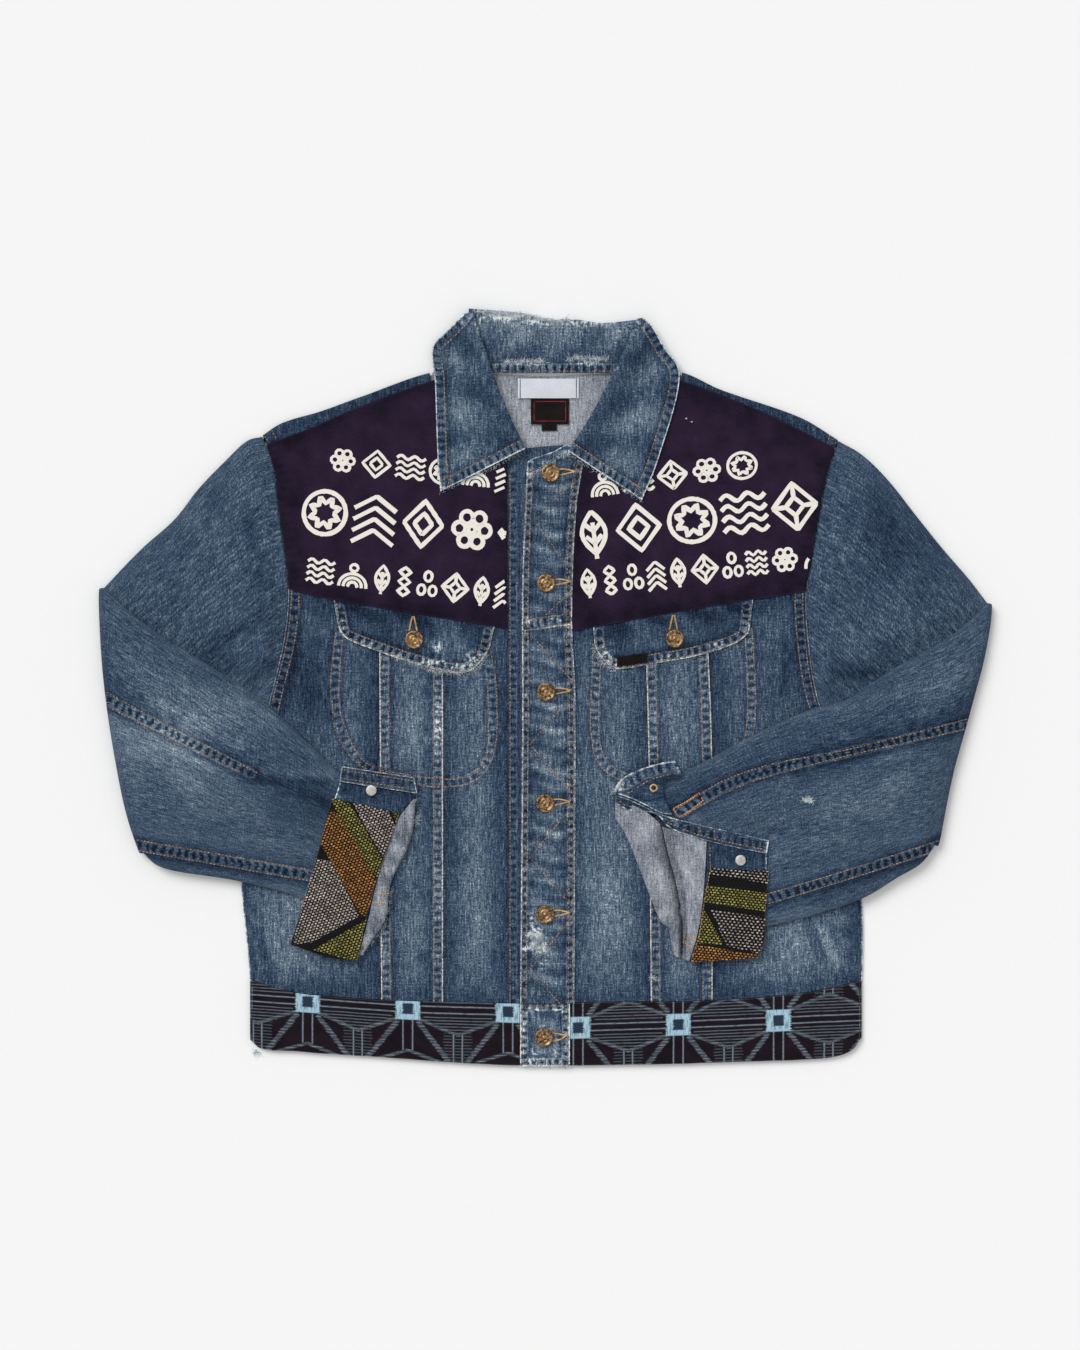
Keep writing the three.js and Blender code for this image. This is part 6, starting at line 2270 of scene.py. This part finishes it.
# Frayed edges: points along the edge, heading out of the cloth, how many fibres per millimetre and how long
FRAYS = [
    ([(-62, 345), (-30, 342), (10, 336), (22, 338)], (0.1, -1.0), 5.0, 4.0),
    ([(-66, 344), (-22, 342), (14, 335)], (0.0, 1.0), 2.0, 2.6),
    ([(-38, 297), (0, 298)], (0.1, 1.0), 5.0, 4.0),
    ([(20, 300), (58, 300)], (-0.1, 1.0), 4.5, 4.5),
    ([(-96, 179), (-60, 196), (-22, 216)], (0.3, -1.0), 1.6, 3.0),
    ([(23, 214), (60, 190), (88, 171)], (-0.3, -1.0), 1.2, 2.6),
    ([(-14, 194), (8, 208), (22, 216)], (-0.3, -0.9), 2.4, 3.0),
    ([(-140, 28), (-100, 15), (-78, 12), (-62, 18), (-54, 30)], (0.2, -1.0), 4.0, 3.0),
    ([(46, 34), (54, 22), (66, 16)], (-0.6, -0.8), 4.0, 3.0),
    ([(90, 19), (140, 28), (176, 40)], (0.2, -1.0), 1.0, 2.2),
    ([(-103, 290), (-101, 286)], (0.6, -0.4), 6.0, 3.0),
    ([(-13, -226), (-3, -230), (-12, -236), (-4, -240)], (0.3, -1.0), 9.0, 5.0),
    ([(236, -104), (244, -106)], (0.2, 0.6), 9.0, 5.0),
    ([(-18, -348), (18, -348)], (0.1, -1.0), 2.0, 3.0),
    ([(-118, -117), (-119, -127)], (1.0, 0.2), 5.0, 4.5),
    ([(-141, -185), (-148, -221), (-168, -244)], (0.9, -0.5), 2.2, 2.6),
    ([(63, -99), (66, -94), (72, -88)], (-0.9, 0.3), 5.0, 3.6),
    ([(-266, -334), (-262, -338)], (-0.8, -0.6), 3.0, 6.0),
    ([(96, -268), (101, -268)], (0.6, 0.4), 5.0, 3.6),
]


def build_fraying():
    surface = Surface()
    chance = np.random.default_rng(7)
    vertices, faces = [], []
    for line, heading, density, longest in FRAYS:
        points, _ = along_line(line, 1 / density)
        out = np.array(heading) / np.linalg.norm(heading)
        for point in points:
            point = point + chance.normal(0, 0.9, 2)
            direction = out + chance.normal(0, 0.75, 2)
            direction /= np.linalg.norm(direction)
            length = longest * chance.uniform(0.4, 1.1)
            side = np.array([-direction[1], direction[0]])
            bend = chance.normal(0, 0.5)
            first = len(vertices)
            for share in (0.0, 0.5, 1.0):
                centre = point + direction * length * share + side * bend * length * share**2
                _, z, _ = surface.hit(*metres(centre))
                z = max(z, 0.0) * 1000 + 0.35 + 0.5 * share
                thick = 0.26 * (1 - 0.6 * share)
                for k in range(3):
                    turn = 2 * math.pi * k / 3
                    offset = side * thick * math.cos(turn)
                    vertices.append((*metres(centre + offset), (z + thick * math.sin(turn)) / 1000))
            for ring in (first, first + 3):
                for k in range(3):
                    n = (k + 1) % 3
                    faces.append((ring + k, ring + n, ring + 3 + n, ring + 3 + k))
            faces += [(first + 2, first + 1, first), (first + 6, first + 7, first + 8)]
    finished("frayed_fibres", merged("frayed_fibres", vertices, faces, "fibre"))


# ---- Stage --------------------------------------------------------------------------------------------

JACKET_MIDDLE = (-4.6, 10.6)
SUN_HEADING = Vector((0.62, -0.72, -0.9))


def build_stage():
    look = settings("stage")
    centre = Vector(metres([(*JACKET_MIDDLE, 0)])[0])
    bm = bmesh.new()
    bmesh.ops.create_grid(bm, x_segments=1, y_segments=1, size=3.0)
    mesh = bpy.data.meshes.new("floor")
    bm.to_mesh(mesh)
    bm.free()
    paper, tree = begun("white paper")
    grain = uneven(tree, 1.5, detail=1)
    shade = add(tree, "ValToRGB", (grain,), stops=[(0.2, "#f5f5f5"), (0.8, "#f9f9f9")])
    mesh.materials.append(finish(paper, shade, roughness=0.95))
    floor = bpy.data.objects.new("floor", mesh)
    bpy.context.scene.collection.objects.link(floor)
    floor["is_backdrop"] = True

    world = bpy.data.worlds.new("even daylight")
    world.use_nodes = True
    background = world.node_tree.nodes["Background"]
    background.inputs["Color"].default_value = (1, 1, 1, 1)
    background.inputs["Strength"].default_value = look.daylight
    scene = bpy.context.scene
    scene.world = world
    scene.view_settings.view_transform = "Standard"

    light = bpy.data.lights.new("window light", "SUN")
    light.energy = look.sun
    light.angle = look.sun_width
    lamp = bpy.data.objects.new("window_light", light)
    lamp.rotation_euler = SUN_HEADING.to_track_quat("-Z", "Y").to_euler()
    lamp.location = centre + Vector((-1.2, 1.4, 2.0))
    scene.collection.objects.link(lamp)

    camera = bpy.data.objects.new("camera", bpy.data.cameras.new("camera"))
    camera.location = centre + Vector((0, 0, look.camera_height))
    camera.data.lens = camera.data.sensor_width * look.camera_height / look.view_height
    scene.collection.objects.link(camera)
    scene.camera = camera


# ---- Operators ----------------------------------------------------------------------------------------


class JACKET_OT_back(bpy.types.Operator):
    """The back panel and the back yoke, which is rolled over both shoulders"""

    bl_idname = "jacket.back"
    bl_label = "Back"

    def execute(self, context):
        build_back()
        return {"FINISHED"}


class JACKET_OT_pocket_bags(bpy.types.Operator):
    """The two pocket bags behind the fronts"""

    bl_idname = "jacket.pocket_bags"
    bl_label = "Pocket bags"

    def execute(self, context):
        build_pocket_bags()
        return {"FINISHED"}


class JACKET_OT_fronts(bpy.types.Operator):
    """Three panels and a yoke on each side"""

    bl_idname = "jacket.fronts"
    bl_label = "Fronts"

    def execute(self, context):
        build_fronts()
        return {"FINISHED"}


class JACKET_OT_yoke_patches(bpy.types.Operator):
    """Dark indigo patches over both front yokes"""

    bl_idname = "jacket.yoke_patches"
    bl_label = "Yoke patches"

    def execute(self, context):
        build_yoke_patches()
        return {"FINISHED"}


class JACKET_OT_placket(bpy.types.Operator):
    """The buttoned edge and the strip under it"""

    bl_idname = "jacket.placket"
    bl_label = "Placket"

    def execute(self, context):
        build_placket()
        return {"FINISHED"}


class JACKET_OT_flaps(bpy.types.Operator):
    """Two pointed pocket flaps and a small bare tag"""

    bl_idname = "jacket.flaps"
    bl_label = "Flaps"

    def execute(self, context):
        build_flaps()
        return {"FINISHED"}


class JACKET_OT_waistband(bpy.types.Operator):
    """The ikat waistband with a denim tab"""

    bl_idname = "jacket.waistband"
    bl_label = "Waistband"

    def execute(self, context):
        build_waistband()
        return {"FINISHED"}


class JACKET_OT_sleeves(bpy.types.Operator):
    """Two sleeves folded over at the elbow"""

    bl_idname = "jacket.sleeves"
    bl_label = "Sleeves"

    def execute(self, context):
        build_sleeves()
        return {"FINISHED"}


class JACKET_OT_left_cuff(bpy.types.Operator):
    """The left sleeve end, turned back over the forearm"""

    bl_idname = "jacket.left_cuff"
    bl_label = "Left sleeve end"

    def execute(self, context):
        build_left_cuff()
        return {"FINISHED"}


class JACKET_OT_right_cuff(bpy.types.Operator):
    """The right sleeve end, opened and turned back"""

    bl_idname = "jacket.right_cuff"
    bl_label = "Right sleeve end"

    def execute(self, context):
        build_right_cuff()
        return {"FINISHED"}


class JACKET_OT_collar(bpy.types.Operator):
    """The collar with its two leaves"""

    bl_idname = "jacket.collar"
    bl_label = "Collar"

    def execute(self, context):
        build_collar()
        return {"FINISHED"}


class JACKET_OT_labels(bpy.types.Operator):
    """Three bare labels inside the neck"""

    bl_idname = "jacket.labels"
    bl_label = "Labels"

    def execute(self, context):
        build_labels()
        return {"FINISHED"}


class JACKET_OT_buttons(bpy.types.Operator):
    """Brass buttons and the backs of the cuff buttons"""

    bl_idname = "jacket.buttons"
    bl_label = "Buttons"

    def execute(self, context):
        build_buttons()
        return {"FINISHED"}


class JACKET_OT_stitching(bpy.types.Operator):
    """The rows of stitches that show"""

    bl_idname = "jacket.stitching"
    bl_label = "Stitching"

    def execute(self, context):
        build_stitching()
        return {"FINISHED"}


class JACKET_OT_print(bpy.types.Operator):
    """Rows of plain geometric motifs on the yoke patches"""

    bl_idname = "jacket.print"
    bl_label = "Print"

    def execute(self, context):
        build_print()
        return {"FINISHED"}


class JACKET_OT_fraying(bpy.types.Operator):
    """Loose fibres where edges are worn through"""

    bl_idname = "jacket.fraying"
    bl_label = "Fraying"

    def execute(self, context):
        build_fraying()
        return {"FINISHED"}


class JACKET_OT_stage(bpy.types.Operator):
    """The white surface, the lights and the camera"""

    bl_idname = "jacket.stage"
    bl_label = "Stage"

    def execute(self, context):
        build_stage()
        return {"FINISHED"}


OPERATORS = [
    JACKET_OT_back, JACKET_OT_pocket_bags, JACKET_OT_fronts, JACKET_OT_yoke_patches,
    JACKET_OT_placket, JACKET_OT_flaps, JACKET_OT_waistband, JACKET_OT_sleeves, JACKET_OT_left_cuff,
    JACKET_OT_right_cuff, JACKET_OT_collar, JACKET_OT_labels, JACKET_OT_buttons,
    JACKET_OT_stitching, JACKET_OT_print, JACKET_OT_fraying, JACKET_OT_stage,
]


class JACKET_PT_panel(bpy.types.Panel):
    """Builds the jacket piece by piece"""

    bl_label = "Patched denim jacket"
    bl_space_type = "VIEW_3D"
    bl_region_type = "UI"
    bl_category = "Jacket"

    def draw(self, context):
        for each in OPERATORS:
            self.layout.operator(each.bl_idname)


def register():
    for name, group in SETTINGS.items():
        bpy.utils.register_class(group)
        setattr(bpy.types.Scene, name, bpy.props.PointerProperty(type=group))
    for each in [*OPERATORS, JACKET_PT_panel]:
        bpy.utils.register_class(each)


def unregister():
    for each in [JACKET_PT_panel, *OPERATORS[::-1]]:
        bpy.utils.unregister_class(each)
    for name, group in SETTINGS.items():
        delattr(bpy.types.Scene, name)
        bpy.utils.unregister_class(group)


def main():
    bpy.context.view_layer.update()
    register()
    for each in OPERATORS:
        getattr(bpy.ops.jacket, each.bl_idname.removeprefix("jacket."))()


if __name__ == "__main__":
    main()
